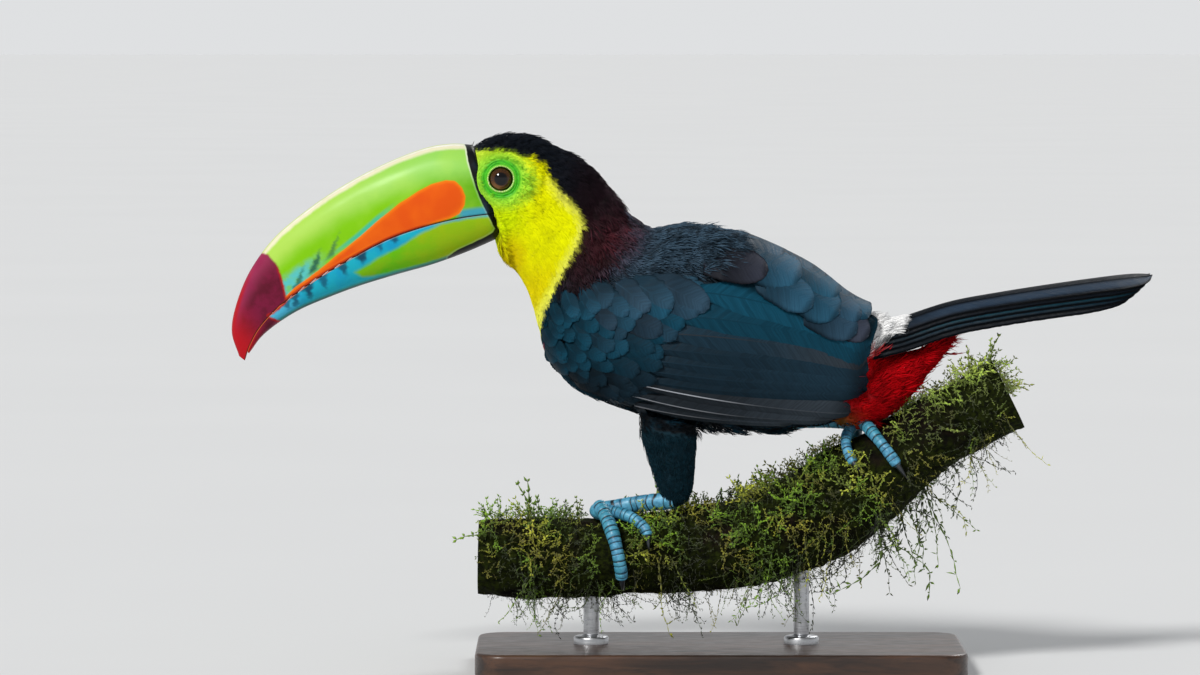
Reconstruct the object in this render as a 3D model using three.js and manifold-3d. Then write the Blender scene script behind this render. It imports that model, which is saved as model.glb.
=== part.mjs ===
// A keel-billed toucan at life size, standing along a short mossy branch on a display stand.
//
// Millimetres, +Z up. The bird faces -X and its left side faces -Y. The origin is the middle of
// the underside of the stand's base. Side-view places are [x, z] pairs in the plane y = 0.

import * as THREE from 'three';
import { mergeVertices } from 'three/addons/utils/BufferGeometryUtils.js';
import Module from 'manifold-3d';

const wasm = await Module();
wasm.setup();

const GAP = 0.35; // clearance between neighbouring pieces
const LEFT = -1; // the sign of Y on the bird's left side
const RIGHT = 1;

// ---------------------------------------------------------------------------------- materials

function finish(color, roughness, metalness = 0) {
  return new THREE.MeshStandardMaterial({ color, roughness, metalness });
}

const BLACK_PLUMAGE = finish('#1b2430', 0.8);
const MAROON_PLUMAGE = finish('#2b151a', 0.85);
const YELLOW_PLUMAGE = finish('#d8cf1c', 0.8);
const WHITE_PLUMAGE = finish('#eef0ee', 0.85);
const RED_PLUMAGE = finish('#b80d0c', 0.8);
const WING_PLUMAGE = finish('#2a4354', 0.55);
const FLIGHT_PLUMAGE = finish('#3a3f48', 0.5);
const TAIL_PLUMAGE = finish('#14202b', 0.45);
const BILL_KERATIN = finish('#8fd21a', 0.3);
const JAW_KERATIN = finish('#2aa7c4', 0.3);
const EYE_GLOSS = finish('#120c08', 0.08);
const SCALED_SKIN = finish('#5fb4d8', 0.5);
const CLAW_HORN = finish('#3c4048', 0.35);
const MOSSY_BARK = finish('#4d4a22', 0.95);
const STAND_WOOD = finish('#2c1c12', 0.4);
const STAND_STEEL = finish('#9a9da1', 0.3, 1);

// ------------------------------------------------------------------------------ shape helpers

// A smooth curve through rows of numbers, with row i at t = i.
function curveThrough(rows) {
  const places = rows.map((_, i) => i);
  const curve = new THREE.CubicInterpolant(places, rows.flat(), rows[0].length);
  return (t) => Array.from(curve.evaluate(t));
}

// steps + 1 even values from one end to the other.
function spaced(from, to, steps) {
  return Array.from({ length: steps + 1 }, (_, i) => from + ((to - from) * i) / steps);
}

function solidFrom(points, faces) {
  const mesh = new wasm.Mesh({
    numProp: 3,
    vertProperties: new Float32Array(points.flatMap((p) => p.toArray())),
    triVerts: new Uint32Array(faces),
  });
  return new wasm.Manifold(mesh);
}

// A closed solid through rings of points. Each end is closed by a fan about its centre, or by
// a strip of quads where the ring is a thin band: its top edge, then its under edge backwards.
function loft(rings, thinBand = false) {
  const count = rings[0].length;
  const points = rings.flat();
  const end = (rings.length - 1) * count;
  const faces = [];
  if (thinBand) {
    for (let i = 0; i < count / 2 - 1; i++) {
      const under = count - 1 - i;
      faces.push(i, under - 1, i + 1, i, under, under - 1);
      faces.push(end + i, end + i + 1, end + under - 1, end + i, end + under - 1, end + under);
    }
  } else {
    const centre = (ring) =>
      ring.reduce((sum, p) => sum.add(p), new THREE.Vector3()).divideScalar(count);
    const first = points.push(centre(rings[0])) - 1;
    const last = points.push(centre(rings.at(-1))) - 1;
    for (let i = 0; i < count; i++) {
      const next = (i + 1) % count;
      faces.push(next, i, first, end + i, end + next, last);
    }
  }
  for (let i = 0; i < count; i++) {
    const next = (i + 1) % count;
    for (let r = 0; r < end; r += count) {
      faces.push(r + i, r + next, r + next + count);
      faces.push(r + i, r + next + count, r + i + count);
    }
  }
  const solid = solidFrom(points, faces);
  return solid.volume() > 0 ? solid : solidFrom(points, faces.reverse());
}

function solidOf(geometry) {
  const bare = new THREE.BufferGeometry();
  bare.setAttribute('position', geometry.getAttribute('position'));
  bare.setIndex(geometry.getIndex());
  const merged = mergeVertices(bare, 1e-4);
  const mesh = new wasm.Mesh({
    numProp: 3,
    vertProperties: merged.getAttribute('position').array,
    triVerts: new Uint32Array(merged.getIndex().array),
  });
  return new wasm.Manifold(mesh);
}

function geometryOf(solid) {
  const mesh = solid.getMesh();
  const geometry = new THREE.BufferGeometry();
  geometry.setAttribute('position', new THREE.BufferAttribute(mesh.vertProperties, 3));
  geometry.setIndex(new THREE.BufferAttribute(mesh.triVerts, 1));
  const faceted = geometry.toNonIndexed();
  faceted.computeVertexNormals();
  return faceted;
}

// The main body of a solid, without the slivers that a cut can leave beside it.
function mainBody(solid) {
  return solid.decompose().sort((a, b) => b.volume() - a.volume())[0];
}

function cutBy(solid, ...cutters) {
  return mainBody(cutters.reduce((left, cutter) => left.subtract(cutter), solid));
}

function mirrored(solid) {
  return solid.scale([1, -1, 1]);
}

// A solid swept along points, with radii [sideways, outwards] at each point; out(i) is the
// direction that the outward radius takes there.
function sweep(points, radii, out, sides = 8) {
  const rings = points.map((point, i) => {
    const before = points[Math.max(i - 1, 0)];
    const after = points[Math.min(i + 1, points.length - 1)];
    const along = after.clone().sub(before).normalize();
    const outward = out(i).clone().addScaledVector(along, -out(i).dot(along)).normalize();
    const sideways = new THREE.Vector3().crossVectors(along, outward);
    return spaced(0, 2 * Math.PI, sides).slice(0, sides).map((angle) =>
      point.clone()
        .addScaledVector(sideways, radii[i][0] * Math.cos(angle))
        .addScaledVector(outward, radii[i][1] * Math.sin(angle)));
  });
  return loft(rings);
}

// A slab of a closed side-view outline, from the middle plane out to the left.
function leftSlab(outline, depth = 80) {
  const shape = new THREE.Shape(outline.map(([x, z]) => new THREE.Vector2(x, z)));
  const geometry = new THREE.ExtrudeGeometry(shape, { depth, bevelEnabled: false });
  return solidOf(geometry.rotateX(Math.PI / 2).translate(0, -GAP / 2, 0));
}

// ------------------------------------------------------------------------------------- body

// The body from the bill's root to the tail's root. Each station joins a point of the back to
// a point of the throat, breast or belly; half is its half width, and bias makes it fuller
// towards the back (above 0) or the belly.
const BODY = [
  { back: [-128.0, 267.6], belly: [-114.6, 215.6], half: 16.5, bias: 0.0 }, // bill's root
  { back: [-121.0, 271.0], belly: [-111.3, 208.7], half: 20.0, bias: 0.12 }, // brow
  { back: [-108.7, 273.6], belly: [-105.1, 203.1], half: 22.5, bias: 0.2 }, // eye
  { back: [-94.9, 272.6], belly: [-100.5, 195.4], half: 23.5, bias: 0.22 }, // crown
  { back: [-82.1, 266.5], belly: [-97.4, 186.2], half: 24.0, bias: 0.18 }, // hind crown
  { back: [-67.7, 257.2], belly: [-94.4, 174.9], half: 25.0, bias: 0.08 }, // nape
  { back: [-56.4, 244.4], belly: [-90.8, 163.6], half: 28.0, bias: -0.05 },
  { back: [-47.7, 232.1], belly: [-85.6, 154.4], half: 33.0, bias: -0.1 }, // neck's root
  { back: [-36.9, 225.0], belly: [-75.9, 144.1], half: 38.0, bias: -0.1 }, // shoulders
  { back: [-17.9, 226.5], belly: [-59.0, 135.4], half: 41.5, bias: -0.05 },
  { back: [2.6, 221.2], belly: [-30.8, 126.7], half: 42.5, bias: 0.0 }, // mantle
  { back: [25.6, 212.3], belly: [2.6, 121.5], half: 40.0, bias: 0.0 },
  { back: [47.8, 201.0], belly: [35.9, 122.0], half: 34.0, bias: 0.0 }, // loin
  { back: [67.4, 186.6], belly: [62.6, 128.2], half: 25.0, bias: 0.0 }, // vent
  { back: [84.0, 180.0], belly: [80.0, 157.0], half: 16.0, bias: 0.0 }, // rump
  { back: [93.5, 181.0], belly: [90.5, 164.0], half: 12.5, bias: 0.0 }, // tail's root
];
const HEAD_END = 4.6; // where the head meets the neck, in stations
const NECK_END = 7.2; // where the neck meets the trunk
const TRUNK_END = 13.3; // where the trunk meets the rump
const BODY_END = BODY.length - 1;
const BODY_SIDES = 20;
const BODY_STEPS = 18;

const bodyAt = curveThrough(BODY.map((s) => [...s.back, ...s.belly, s.half, s.bias]));

// The bill's root bows forwards on its upper half, where the face's skin meets it.
const ROOT_BOW = 3;
function rootBow(level) {
  return level < 0.7 ? -ROOT_BOW * Math.sin((Math.PI * level) / 0.7) : 0;
}

// One ring of the body. grow moves it outwards, and a power under 1 squares its lower half.
function bodyRing(t, grow = 0, lowerPower = 1) {
  const [backX, backZ, bellyX, bellyZ, half, bias] = bodyAt(t);
  const back = new THREE.Vector3(backX, 0, backZ);
  const belly = new THREE.Vector3(bellyX, 0, bellyZ);
  const outward = back.clone().sub(belly).normalize();
  back.addScaledVector(outward, grow);
  belly.addScaledVector(outward, -grow);
  const rootShare = Math.max(0, 1 - t);
  return spaced(0, 2 * Math.PI, BODY_SIDES).slice(0, BODY_SIDES).map((angle) => {
    const level = (1 - Math.cos(angle)) / 2; // 0 at the back and 1 at the belly
    const power = level > 0.5 ? lowerPower : 1;
    const side = Math.sign(Math.sin(angle)) * Math.abs(Math.sin(angle)) ** power;
    const point = back.clone().lerp(belly, level);
    point.x += rootShare * rootBow(level);
    point.y = (half + grow) * side * (1 + bias * Math.cos(angle));
    return point;
  });
}

const SEAM = 0.012; // half of a seam between body pieces, in stations
const SEAM_EDGES = [HEAD_END, NECK_END, TRUNK_END].flatMap((t) => [t - SEAM, t + SEAM]);
const BODY_RINGS = [...spaced(0, BODY_END, BODY_STEPS), ...SEAM_EDGES]
  .sort((a, b) => a - b);

// Rings stand at the same stations in every piece, so that neighbours share their facets.
function bodyPiece(from, to, grow = 0, lowerPower = 1) {
  const growth = typeof grow === 'function' ? grow : () => grow;
  return loft([from, ...BODY_RINGS.filter((t) => t > from && t < to), to]
    .map((t) => bodyRing(t, growth(t), lowerPower)));
}

// -------------------------------------------------------------------------------------- eyes

const EYE = { x: -111.9, z: 251.4, y: 16.2, radius: 7.0 };
const LID = { radius: 6.9, tube: 1.4, out: 4.3 }; // the ring of bare skin that frames the eye

function eyeball(side, grow = 0) {
  const ball = new THREE.SphereGeometry(EYE.radius + grow, 12, 8);
  return solidOf(ball.translate(EYE.x, side * EYE.y, EYE.z));
}

function lidRing(side) {
  const ring = new THREE.TorusGeometry(LID.radius, LID.tube, 5, 12).rotateX(Math.PI / 2);
  return solidOf(ring.translate(EYE.x, side * (EYE.y + LID.out), EYE.z));
}

// -------------------------------------------------------------------------------------- bill

// Stations from the bill's root to its tip: the culmen above, the cutting edge between the
// mandibles, and the gonys below, with the half width at the cutting edge.
const BILL = [
  { culmen: [-123.5, 268.0], edge: [-113.7, 233.8], gonys: [-110.5, 222.0], half: 16.2 },
  { culmen: [-138.0, 268.8], edge: [-133.0, 231.2], gonys: [-128.0, 214.2], half: 16.0 },
  { culmen: [-153.0, 266.0], edge: [-151.0, 226.8], gonys: [-147.0, 207.2], half: 15.2 },
  { culmen: [-174.5, 257.3], edge: [-169.0, 220.5], gonys: [-166.0, 201.8], half: 14.0 },
  { culmen: [-195.0, 246.2], edge: [-186.0, 211.8], gonys: [-184.0, 196.3], half: 12.6 },
  { culmen: [-213.5, 233.5], edge: [-203.0, 202.0], gonys: [-201.0, 190.0], half: 11.0 },
  { culmen: [-229.0, 220.0], edge: [-216.5, 192.8], gonys: [-215.0, 184.0], half: 9.2 },
  { culmen: [-241.0, 203.5], edge: [-227.5, 184.0], gonys: [-226.5, 177.0], half: 7.0 },
  { culmen: [-248.0, 186.5], edge: [-236.0, 174.5], gonys: [-235.0, 170.0], half: 4.8 },
  { culmen: [-250.3, 172.5], edge: [-241.0, 165.5], gonys: [-240.3, 163.0], half: 3.0 },
  { culmen: [-246.6, 160.0], edge: [-243.6, 157.8], gonys: [-242.6, 159.6], half: 1.3 },
];
const BILL_STEPS = 14;
const LOWER_END = 9.4; // the lower mandible stops short of the upper one's hooked tip
const KEEL_POWER = 0.82; // below 1 flattens the bill's sides
const ARCH_STEPS = 8;

const billAt = curveThrough(BILL.map((s) => [...s.culmen, ...s.edge, ...s.gonys, s.half]));

// Half of a bill's ring: an arch from one cutting edge over the crest to the other. crest is
// the culmen or the gonys, and bulge widens the arch between the edge and the crest.
function archRing(crest, edge, half, bulge) {
  return spaced(0, Math.PI, ARCH_STEPS).map((angle) => {
    const rise = Math.sin(angle);
    const across = Math.sign(Math.cos(angle)) * Math.abs(Math.cos(angle)) ** KEEL_POWER;
    const point = edge.clone().lerp(crest, rise);
    point.y = half * across * (1 + bulge * rise);
    return point;
  });
}

function billRing(t, upper) {
  const [culmenX, culmenZ, edgeX, edgeZ, gonysX, gonysZ, half] = billAt(t);
  const crest = upper
    ? new THREE.Vector3(culmenX, 0, culmenZ)
    : new THREE.Vector3(gonysX, 0, gonysZ);
  const edge = new THREE.Vector3(edgeX, 0, edgeZ);
  edge.addScaledVector(crest.clone().sub(edge).normalize(), GAP / 2);
  return archRing(crest, edge, half, upper ? 0.35 : 0.05);
}

// The bill starts inside the face and is cut back to the skin.
function billPiece(upper) {
  const end = upper ? BILL.length - 1 : LOWER_END;
  const face = bodyPiece(0, HEAD_END, GAP).translate([-GAP, 0, 0]);
  return cutBy(loft(spaced(0, end, BILL_STEPS).map((t) => billRing(t, upper))), face);
}

// -------------------------------------------------------------------------------------- wings

// The folded wings follow the body at a distance, squarer below than the body is.
const WING_START = 7.4; // stations over which the wing rises out of the breast's plumage
const WING_RISEN = 9.4;
const WING_LIFT = 5.5;
const WING_POWER = 0.45;

function wingSurface(lift) {
  const rise = (t) => lift * THREE.MathUtils.smoothstep(t, WING_START, WING_RISEN);
  return bodyPiece(WING_START, BODY_END, rise, WING_POWER);
}

// Side-view outlines of the wing's three layers, which share borders.
const SCAPULAR_EDGE = [
  [-4, 206], [3, 200], [20, 191.5], [36, 181.5], [49, 174.5], [64, 169.5], [78.5, 167.5],
];
const COVERT_EDGE = [[3, 200], [-15, 188], [-24, 172], [-32, 156], [-41, 145], [-42, 134.5]];
const SCAPULARS = [
  ...SCAPULAR_EDGE,
  [80, 172], [76.5, 182], [67, 193], [57, 202], [41, 211.5], [23, 220], [12, 228], [-1, 218],
];
const COVERTS = [
  ...COVERT_EDGE,
  [-57, 136], [-71, 146], [-78, 163], [-76, 184], [-62, 206], [-41, 204.5], [-4, 206],
];
const FLIGHT = [
  ...SCAPULAR_EDGE.slice(1),
  [75.5, 155], [76, 138], [66, 137], [68, 127.8], [57, 123.5], [21, 124], [-10, 127.5],
  ...COVERT_EDGE.slice(1).reverse(),
];
const WING_LAYERS = [
  { name: 'coverts', outline: COVERTS, lift: WING_LIFT, thick: 4.2, material: WING_PLUMAGE },
  { name: 'scapulars', outline: SCAPULARS, lift: WING_LIFT, thick: 4.6, material: WING_PLUMAGE },
  { name: 'flight', outline: FLIGHT, lift: WING_LIFT - 1.2, thick: 3.0, material: FLIGHT_PLUMAGE },
];

// The outline moved a little inwards on all sides, so that neighbouring layers keep their gap.
function inset(outline, by) {
  return outline.map(([x, z], i) => {
    const [beforeX, beforeZ] = outline.at(i - 1);
    const [afterX, afterZ] = outline[(i + 1) % outline.length];
    const along = new THREE.Vector2(afterX - beforeX, afterZ - beforeZ).normalize();
    const turn = THREE.ShapeUtils.isClockWise(outline.map(([u, v]) => ({ x: u, y: v }))) ? 1 : -1;
    return [x + turn * by * along.y, z - turn * by * along.x];
  });
}

function wingLayer(layer, body) {
  const slab = leftSlab(inset(layer.outline, GAP / 2));
  const shell = slab.intersect(wingSurface(layer.lift));
  return cutBy(shell, wingSurface(layer.lift - layer.thick), body);
}

// --------------------------------------------------------------------------------------- tail

// Five feathers on each side, stacked under the middle pair like roof tiles. Each follows the
// tail's ridge, out to its own distance and down its own drop from it.
const TAIL_RIDGE = [
  [94.2, 180.4], [118, 188.0], [143.5, 192.8], [174.5, 197.6], [205, 201.6], [221, 202.6],
];
const TAIL_FEATHERS = 5;
const TAIL_HALF = 25; // half the tail's width where it is widest
const TAIL_DROP = [11.5, 10.5]; // how far its outer edges hang below the ridge, root and tip
const TAIL_ROOT = 0.52; // the tail's width at its root, as a share of its full width
const RECTRIX_WIDTH = 17;
const RECTRIX_THICK = 0.6;
const RECTRIX_GAP = 0.75; // the stack's clearance, which the ridge's bend narrows
const RECTRIX_STEPS = 5;
const TIP_STEP = 0.04; // how much shorter each feather is than the one inside it
const TIP_START = 0.8; // the share of its length from which a feather's tip rounds off

const ridgeAt = curveThrough(TAIL_RIDGE);

// A point of the tail: along it from 0 at the root to 1 at the tip, out from the ridge from 0
// to 1 at the outer edge, and down through the stack by so many millimetres.
function tailPoint(along, out, down, side) {
  const [x, z] = ridgeAt(along * (TAIL_RIDGE.length - 1));
  const spread = TAIL_ROOT + (1 - TAIL_ROOT) * THREE.MathUtils.smoothstep(along, 0, 0.8);
  const y = side * (GAP / 2 + TAIL_HALF * spread * Math.sin(out * 1.25));
  const easing = THREE.MathUtils.smoothstep(along, 0, 0.5);
  const drop = THREE.MathUtils.lerp(TAIL_DROP[0], TAIL_DROP[1], easing);
  return new THREE.Vector3(x, y, z - drop * out ** 1.35 - down);
}

// A feather's rings close up towards its tip, where its outer web rounds off more than its
// inner web, so that the tail ends in one broad curve.
function rectrix(index, side) {
  const length = 1 - TIP_STEP * index;
  const widthShare = RECTRIX_WIDTH / TAIL_HALF;
  const inner = (index * (1 - widthShare)) / (TAIL_FEATHERS - 1);
  const layer = index * (RECTRIX_THICK + RECTRIX_GAP);
  const rings = spaced(0, 1, RECTRIX_STEPS).map((step) => {
    const share = 1 - (1 - step) ** 1.7;
    const along = Math.max(0.004, share * length);
    const toTip = THREE.MathUtils.clamp((share - TIP_START) / (1 - TIP_START), 0, 0.995);
    const rounding = Math.sqrt(1 - toTip ** 2);
    const innerEdge = inner + 0.3 * widthShare * (1 - rounding);
    const outerEdge = innerEdge + widthShare * rounding;
    const outs = spaced(innerEdge, outerEdge, 3);
    const top = outs.map((out) => tailPoint(along, out, layer, side));
    const under = outs.map((out) => tailPoint(along, out, layer + RECTRIX_THICK, side));
    return [...top, ...under.reverse()];
  });
  return loft(rings, true);
}

// The red plumage under the tail's root.
const UNDERTAIL = [
  { top: [66, 160], bottom: [60.0, 123.0], half: 21 },
  { top: [80, 160.5], bottom: [76, 122.0], half: 20 },
  { top: [92, 161.5], bottom: [92, 134.0], half: 17 },
  { top: [103, 164.0], bottom: [104, 148.0], half: 13 },
  { top: [112, 166.5], bottom: [112.5, 158.5], half: 8 },
  { top: [117, 168.0], bottom: [117.2, 166.0], half: 3 },
];
const undertailAt = curveThrough(UNDERTAIL.map((s) => [...s.top, ...s.bottom, s.half]));

function undertailPiece() {
  const rings = spaced(0, UNDERTAIL.length - 1, 6).map((t) => {
    const [topX, topZ, bottomX, bottomZ, half] = undertailAt(t);
    return spaced(0, 2 * Math.PI, 10).slice(0, 10).map((angle) => {
      const level = (1 - Math.cos(angle)) / 2;
      return new THREE.Vector3(
        topX + (bottomX - topX) * level, half * Math.sin(angle), topZ + (bottomZ - topZ) * level);
    });
  });
  return loft(rings);
}

// -------------------------------------------------------------------------------------- perch

// The branch's middle line and its radius there, from its cut end ahead of the bird to the
// one behind it. It bends upwards under the tail.
const PERCH = [
  { at: [-124, 56.4], radius: 19.5 },
  { at: [-92, 55.9], radius: 20.5 },
  { at: [-61, 56.4], radius: 21 },
  { at: [-30, 59.0], radius: 21 },
  { at: [1, 62.3], radius: 22.5 },
  { at: [31, 70.0], radius: 25.5 },
  { at: [61, 85.5], radius: 25 },
  { at: [92, 108.0], radius: 21 },
  { at: [121, 126.5], radius: 19.5 },
  { at: [148, 140.0], radius: 18.5 },
];
const PERCH_SIDES = 14;
const PERCH_STEPS = 14;
const PERCH_END = PERCH.length - 1;

const perchAt = curveThrough(PERCH.map((s) => [...s.at, s.radius]));

// Knots and swellings, as a share of the radius.
function swelling(t, angle) {
  return 0.035 * Math.sin(2.3 * t + 2 * angle) + 0.025 * Math.sin(5.1 * t - 3 * angle + 1);
}

// The branch's place, its direction square to its length, and its radius at station t and at
// an angle from its top, which is positive towards the bird's left.
function perchFrame(t, angle) {
  const [x, z, radius] = perchAt(t);
  const [beforeX, beforeZ] = perchAt(Math.max(t - 0.05, 0));
  const [afterX, afterZ] = perchAt(Math.min(t + 0.05, PERCH_END));
  const along = new THREE.Vector3(afterX - beforeX, 0, afterZ - beforeZ).normalize();
  const up = new THREE.Vector3(-along.z, 0, along.x);
  const outward = up.multiplyScalar(Math.cos(angle));
  outward.y = LEFT * Math.sin(angle);
  return {
    middle: new THREE.Vector3(x, 0, z), outward, radius: radius * (1 + swelling(t, angle)),
  };
}

function perchPoint(t, angle, lift = 0) {
  const { middle, outward, radius } = perchFrame(t, angle);
  return middle.addScaledVector(outward, radius + lift);
}

function perchPiece(grow = 0) {
  return loft(spaced(0, PERCH_END, PERCH_STEPS).map((t) =>
    spaced(0, 2 * Math.PI, PERCH_SIDES).slice(0, PERCH_SIDES)
      .map((angle) => perchPoint(t, angle, grow))));
}

// --------------------------------------------------------------------------------------- legs

// Thighs: middle [x, y, z], half length along the bird and half width across it. The left one
// stands upright, and the right one reaches back under the belly.
const THIGHS = {
  left: [
    { at: [-27, -21, 140], half: [16.5, 12] },
    { at: [-26.7, -20, 128.7], half: [16.3, 12] },
    { at: [-25.8, -18, 116], half: [15, 11.2] },
    { at: [-24.2, -15, 105.5], half: [12.9, 9.8] },
    { at: [-23.2, -12.5, 95.5], half: [11.2, 8.2] },
    { at: [-23.6, -11, 87.5], half: [8.6, 6.6] },
    { at: [-23.4, -10.5, 83.4], half: [4.2, 3.6] },
  ],
  right: [
    { at: [16, 24, 139], half: [17, 12] },
    { at: [22, 22.5, 133], half: [15.5, 11.5] },
    { at: [29, 20, 128.5], half: [12.5, 10] },
    { at: [36, 17, 126.5], half: [9, 7.6] },
    { at: [42, 14.5, 125.8], half: [5, 4.5] },
  ],
};
const THIGH_SIDES = 12;
const THIGH_STEPS = 7;

function thighPiece(stations, out) {
  const at = curveThrough(stations.map((s) => [...s.at, ...s.half]));
  const rows = spaced(0, stations.length - 1, THIGH_STEPS).map((t) => at(t));
  return sweep(
    rows.map(([x, y, z]) => new THREE.Vector3(x, y, z)),
    rows.map(([, , , long, wide]) => [wide, long]),
    () => out, THIGH_SIDES);
}

// Each foot: where its toes meet, as a station and an angle on the branch, the heel that the
// shank comes from, and its toes. Toes sweep from the foot's own angle to end, drifting along
// the branch by so many stations; turn is how the claw goes on round.
const FEET = {
  left: {
    station: 2.02,
    angle: 0.16,
    heel: [-28, -11, 86.4],
    toes: {
      front_outer: { end: 1.98, drift: 0.3, radius: 3.9, claw: 11 },
      rear_outer: { end: 1.12, drift: 0.78, radius: 3.4, claw: 9 },
      front_inner: { end: -1.45, drift: 0.12, radius: 3.5, claw: 10 },
      rear_inner: { end: -1.2, drift: 0.75, radius: 3.2, claw: 9 },
    },
  },
  right: {
    station: 6.86,
    angle: -0.25,
    heel: [41, 14.5, 126.2],
    toes: {
      front_outer: { end: -1.9, drift: -0.35, radius: 3.9, claw: 11 },
      rear_outer: { end: -1.4, drift: 0.4, radius: 3.5, claw: 10 },
      front_inner: { end: 1.02, drift: -0.38, radius: 3.1, claw: 9 },
      rear_inner: { end: 1.62, drift: 0.06, radius: 3.5, claw: 10 },
    },
  },
};
const TOE_STEPS = 6;
const TOE_SIDES = 6;
const TOE_TAPER = 0.78; // a toe's radius at its claw, as a share of the one at its root
const FOOT_LIFT = 3.6; // how far the toes' joint stands off the bark
const FOOT_PAD = 5.4;
const SHANK = [[4.1, 4.6], [3.4, 4.2], [3.3, 4.1], [4.2, 4.4]]; // [across, upright] radii
const CLAW_STEPS = 4;
const CLAW_SIDES = 5;

// The toe's line over the bark: share runs from 0 at the foot to 1 at the claw, and past 1
// along the claw.
function toeFrame(foot, toe, share) {
  const eased = Math.min(share, 1);
  const angle = foot.angle + (toe.end - foot.angle) * share;
  const t = foot.station + toe.drift * Math.sin((eased * Math.PI) / 2);
  const root = (1 - eased) ** 2 * (FOOT_LIFT - 1);
  return { t, angle, root };
}

function toePiece(foot, toe, grow) {
  const shares = spaced(0, 1, TOE_STEPS);
  const frames = shares.map((share) => toeFrame(foot, toe, share));
  const radii = shares.map((share) => toe.radius * (1 - (1 - TOE_TAPER) * share));
  const points = frames.map(({ t, angle, root }, i) =>
    perchPoint(t, angle, GAP + radii[i] + root));
  return sweep(points, radii.map((r) => [r + grow, r + grow]), (i) =>
    perchFrame(frames[i].t, frames[i].angle).outward, TOE_SIDES);
}

function footJoint(foot) {
  return perchPoint(foot.station, foot.angle, FOOT_LIFT + 1.2);
}

// The pad where the toes meet, and the four toes.
function footPiece(foot, grow = 0) {
  const pad = new THREE.SphereGeometry(FOOT_PAD + grow, 8, 6);
  pad.scale(1, 1, 0.85).translate(...footJoint(foot).toArray());
  const toes = Object.values(foot.toes).map((toe) => toePiece(foot, toe, grow));
  return toes.reduce((whole, toe) => whole.add(toe), solidOf(pad));
}

function clawPiece(foot, toe) {
  const { t } = toeFrame(foot, toe, 1);
  const radius = toe.radius * TOE_TAPER;
  const around = perchFrame(t, toe.end).radius;
  const reach = toe.claw / around; // the angle that the claw covers
  const clear = (1.4 * GAP) / around;
  const turn = Math.sign(toe.end - foot.angle);
  const shares = spaced(0, 1, CLAW_STEPS);
  const angles = shares.map((share) => toe.end + turn * (clear + reach * share));
  const points = angles.map((angle, i) => perchPoint(
    t, angle, GAP + radius * (1 - 0.75 * shares[i]) + 1.1 * Math.sin(Math.PI * shares[i])));
  const radii = shares.map((share) => radius * (0.72 - 0.6 * share));
  return sweep(points, radii.map((r) => [r * 0.8, r]), (i) =>
    perchFrame(t, angles[i]).outward, CLAW_SIDES);
}

function shankPiece(foot, grow = 0) {
  const joint = footJoint(foot);
  const heel = new THREE.Vector3(...foot.heel);
  const along = joint.clone().sub(heel).normalize();
  const points = SHANK.map((_, i) => heel.clone().lerp(joint, i / (SHANK.length - 1)));
  points[0].addScaledVector(along, -grow);
  const radii = SHANK.map(([across, high]) => [across + grow, high + grow]);
  return sweep(points, radii, () => new THREE.Vector3(0, 0, 1), 10);
}

// -------------------------------------------------------------------------------------- stand

const BASE = { length: 250, width: 120, height: 12, corner: 16, bevel: 2 };
const RODS = [{ name: 'front', x: -66 }, { name: 'rear', x: 42 }];
const ROD_RADIUS = 4;
const ROD_REACH = 70; // up into the branch, which trims the rods
const COLLAR = { radius: 9, height: 4 };

function basePiece() {
  const { length, width, height, corner, bevel } = BASE;
  const halfLength = length / 2 - bevel;
  const halfWidth = width / 2 - bevel;
  const shape = new THREE.Shape();
  shape.moveTo(-halfLength + corner, -halfWidth);
  shape.absarc(halfLength - corner, -halfWidth + corner, corner, -Math.PI / 2, 0);
  shape.absarc(halfLength - corner, halfWidth - corner, corner, 0, Math.PI / 2);
  shape.absarc(-halfLength + corner, halfWidth - corner, corner, Math.PI / 2, Math.PI);
  shape.absarc(-halfLength + corner, -halfWidth + corner, corner, Math.PI, 1.5 * Math.PI);
  const geometry = new THREE.ExtrudeGeometry(shape, {
    depth: height - 2 * bevel, bevelSize: bevel, bevelThickness: bevel, bevelSegments: 1,
    curveSegments: 3,
  });
  return solidOf(geometry.translate(0, 0, bevel));
}

function upright(radius, from, to, x, sides = 16) {
  const geometry = new THREE.CylinderGeometry(radius, radius, to - from, sides);
  return solidOf(geometry.rotateX(Math.PI / 2).translate(x, 0, (from + to) / 2));
}

// ----------------------------------------------------------------------------------- assembly

const toucan = new THREE.Group();
toucan.name = 'toucan';

function add(name, solid, material) {
  const mesh = new THREE.Mesh(geometryOf(solid), material);
  mesh.name = name;
  toucan.add(mesh);
}

const eyes = { left: eyeball(LEFT), right: eyeball(RIGHT) };
const sockets = [eyeball(LEFT, GAP), eyeball(RIGHT, GAP)];
const head = cutBy(
  bodyPiece(0, HEAD_END - SEAM).add(lidRing(LEFT)).add(lidRing(RIGHT)), ...sockets);
add('head', head, YELLOW_PLUMAGE);
add('neck', bodyPiece(HEAD_END + SEAM, NECK_END - SEAM), MAROON_PLUMAGE);
const rightShankSpace = shankPiece(FEET.right, 1.6 * GAP);
const trunk = cutBy(bodyPiece(NECK_END + SEAM, TRUNK_END - SEAM), rightShankSpace);
add('trunk', trunk, BLACK_PLUMAGE);
add('rump', bodyPiece(TRUNK_END + SEAM, BODY_END), WHITE_PLUMAGE);
add('eye_left', eyes.left, EYE_GLOSS);
add('eye_right', eyes.right, EYE_GLOSS);
add('bill_upper', billPiece(true), BILL_KERATIN);
add('bill_lower', billPiece(false), JAW_KERATIN);

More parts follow.
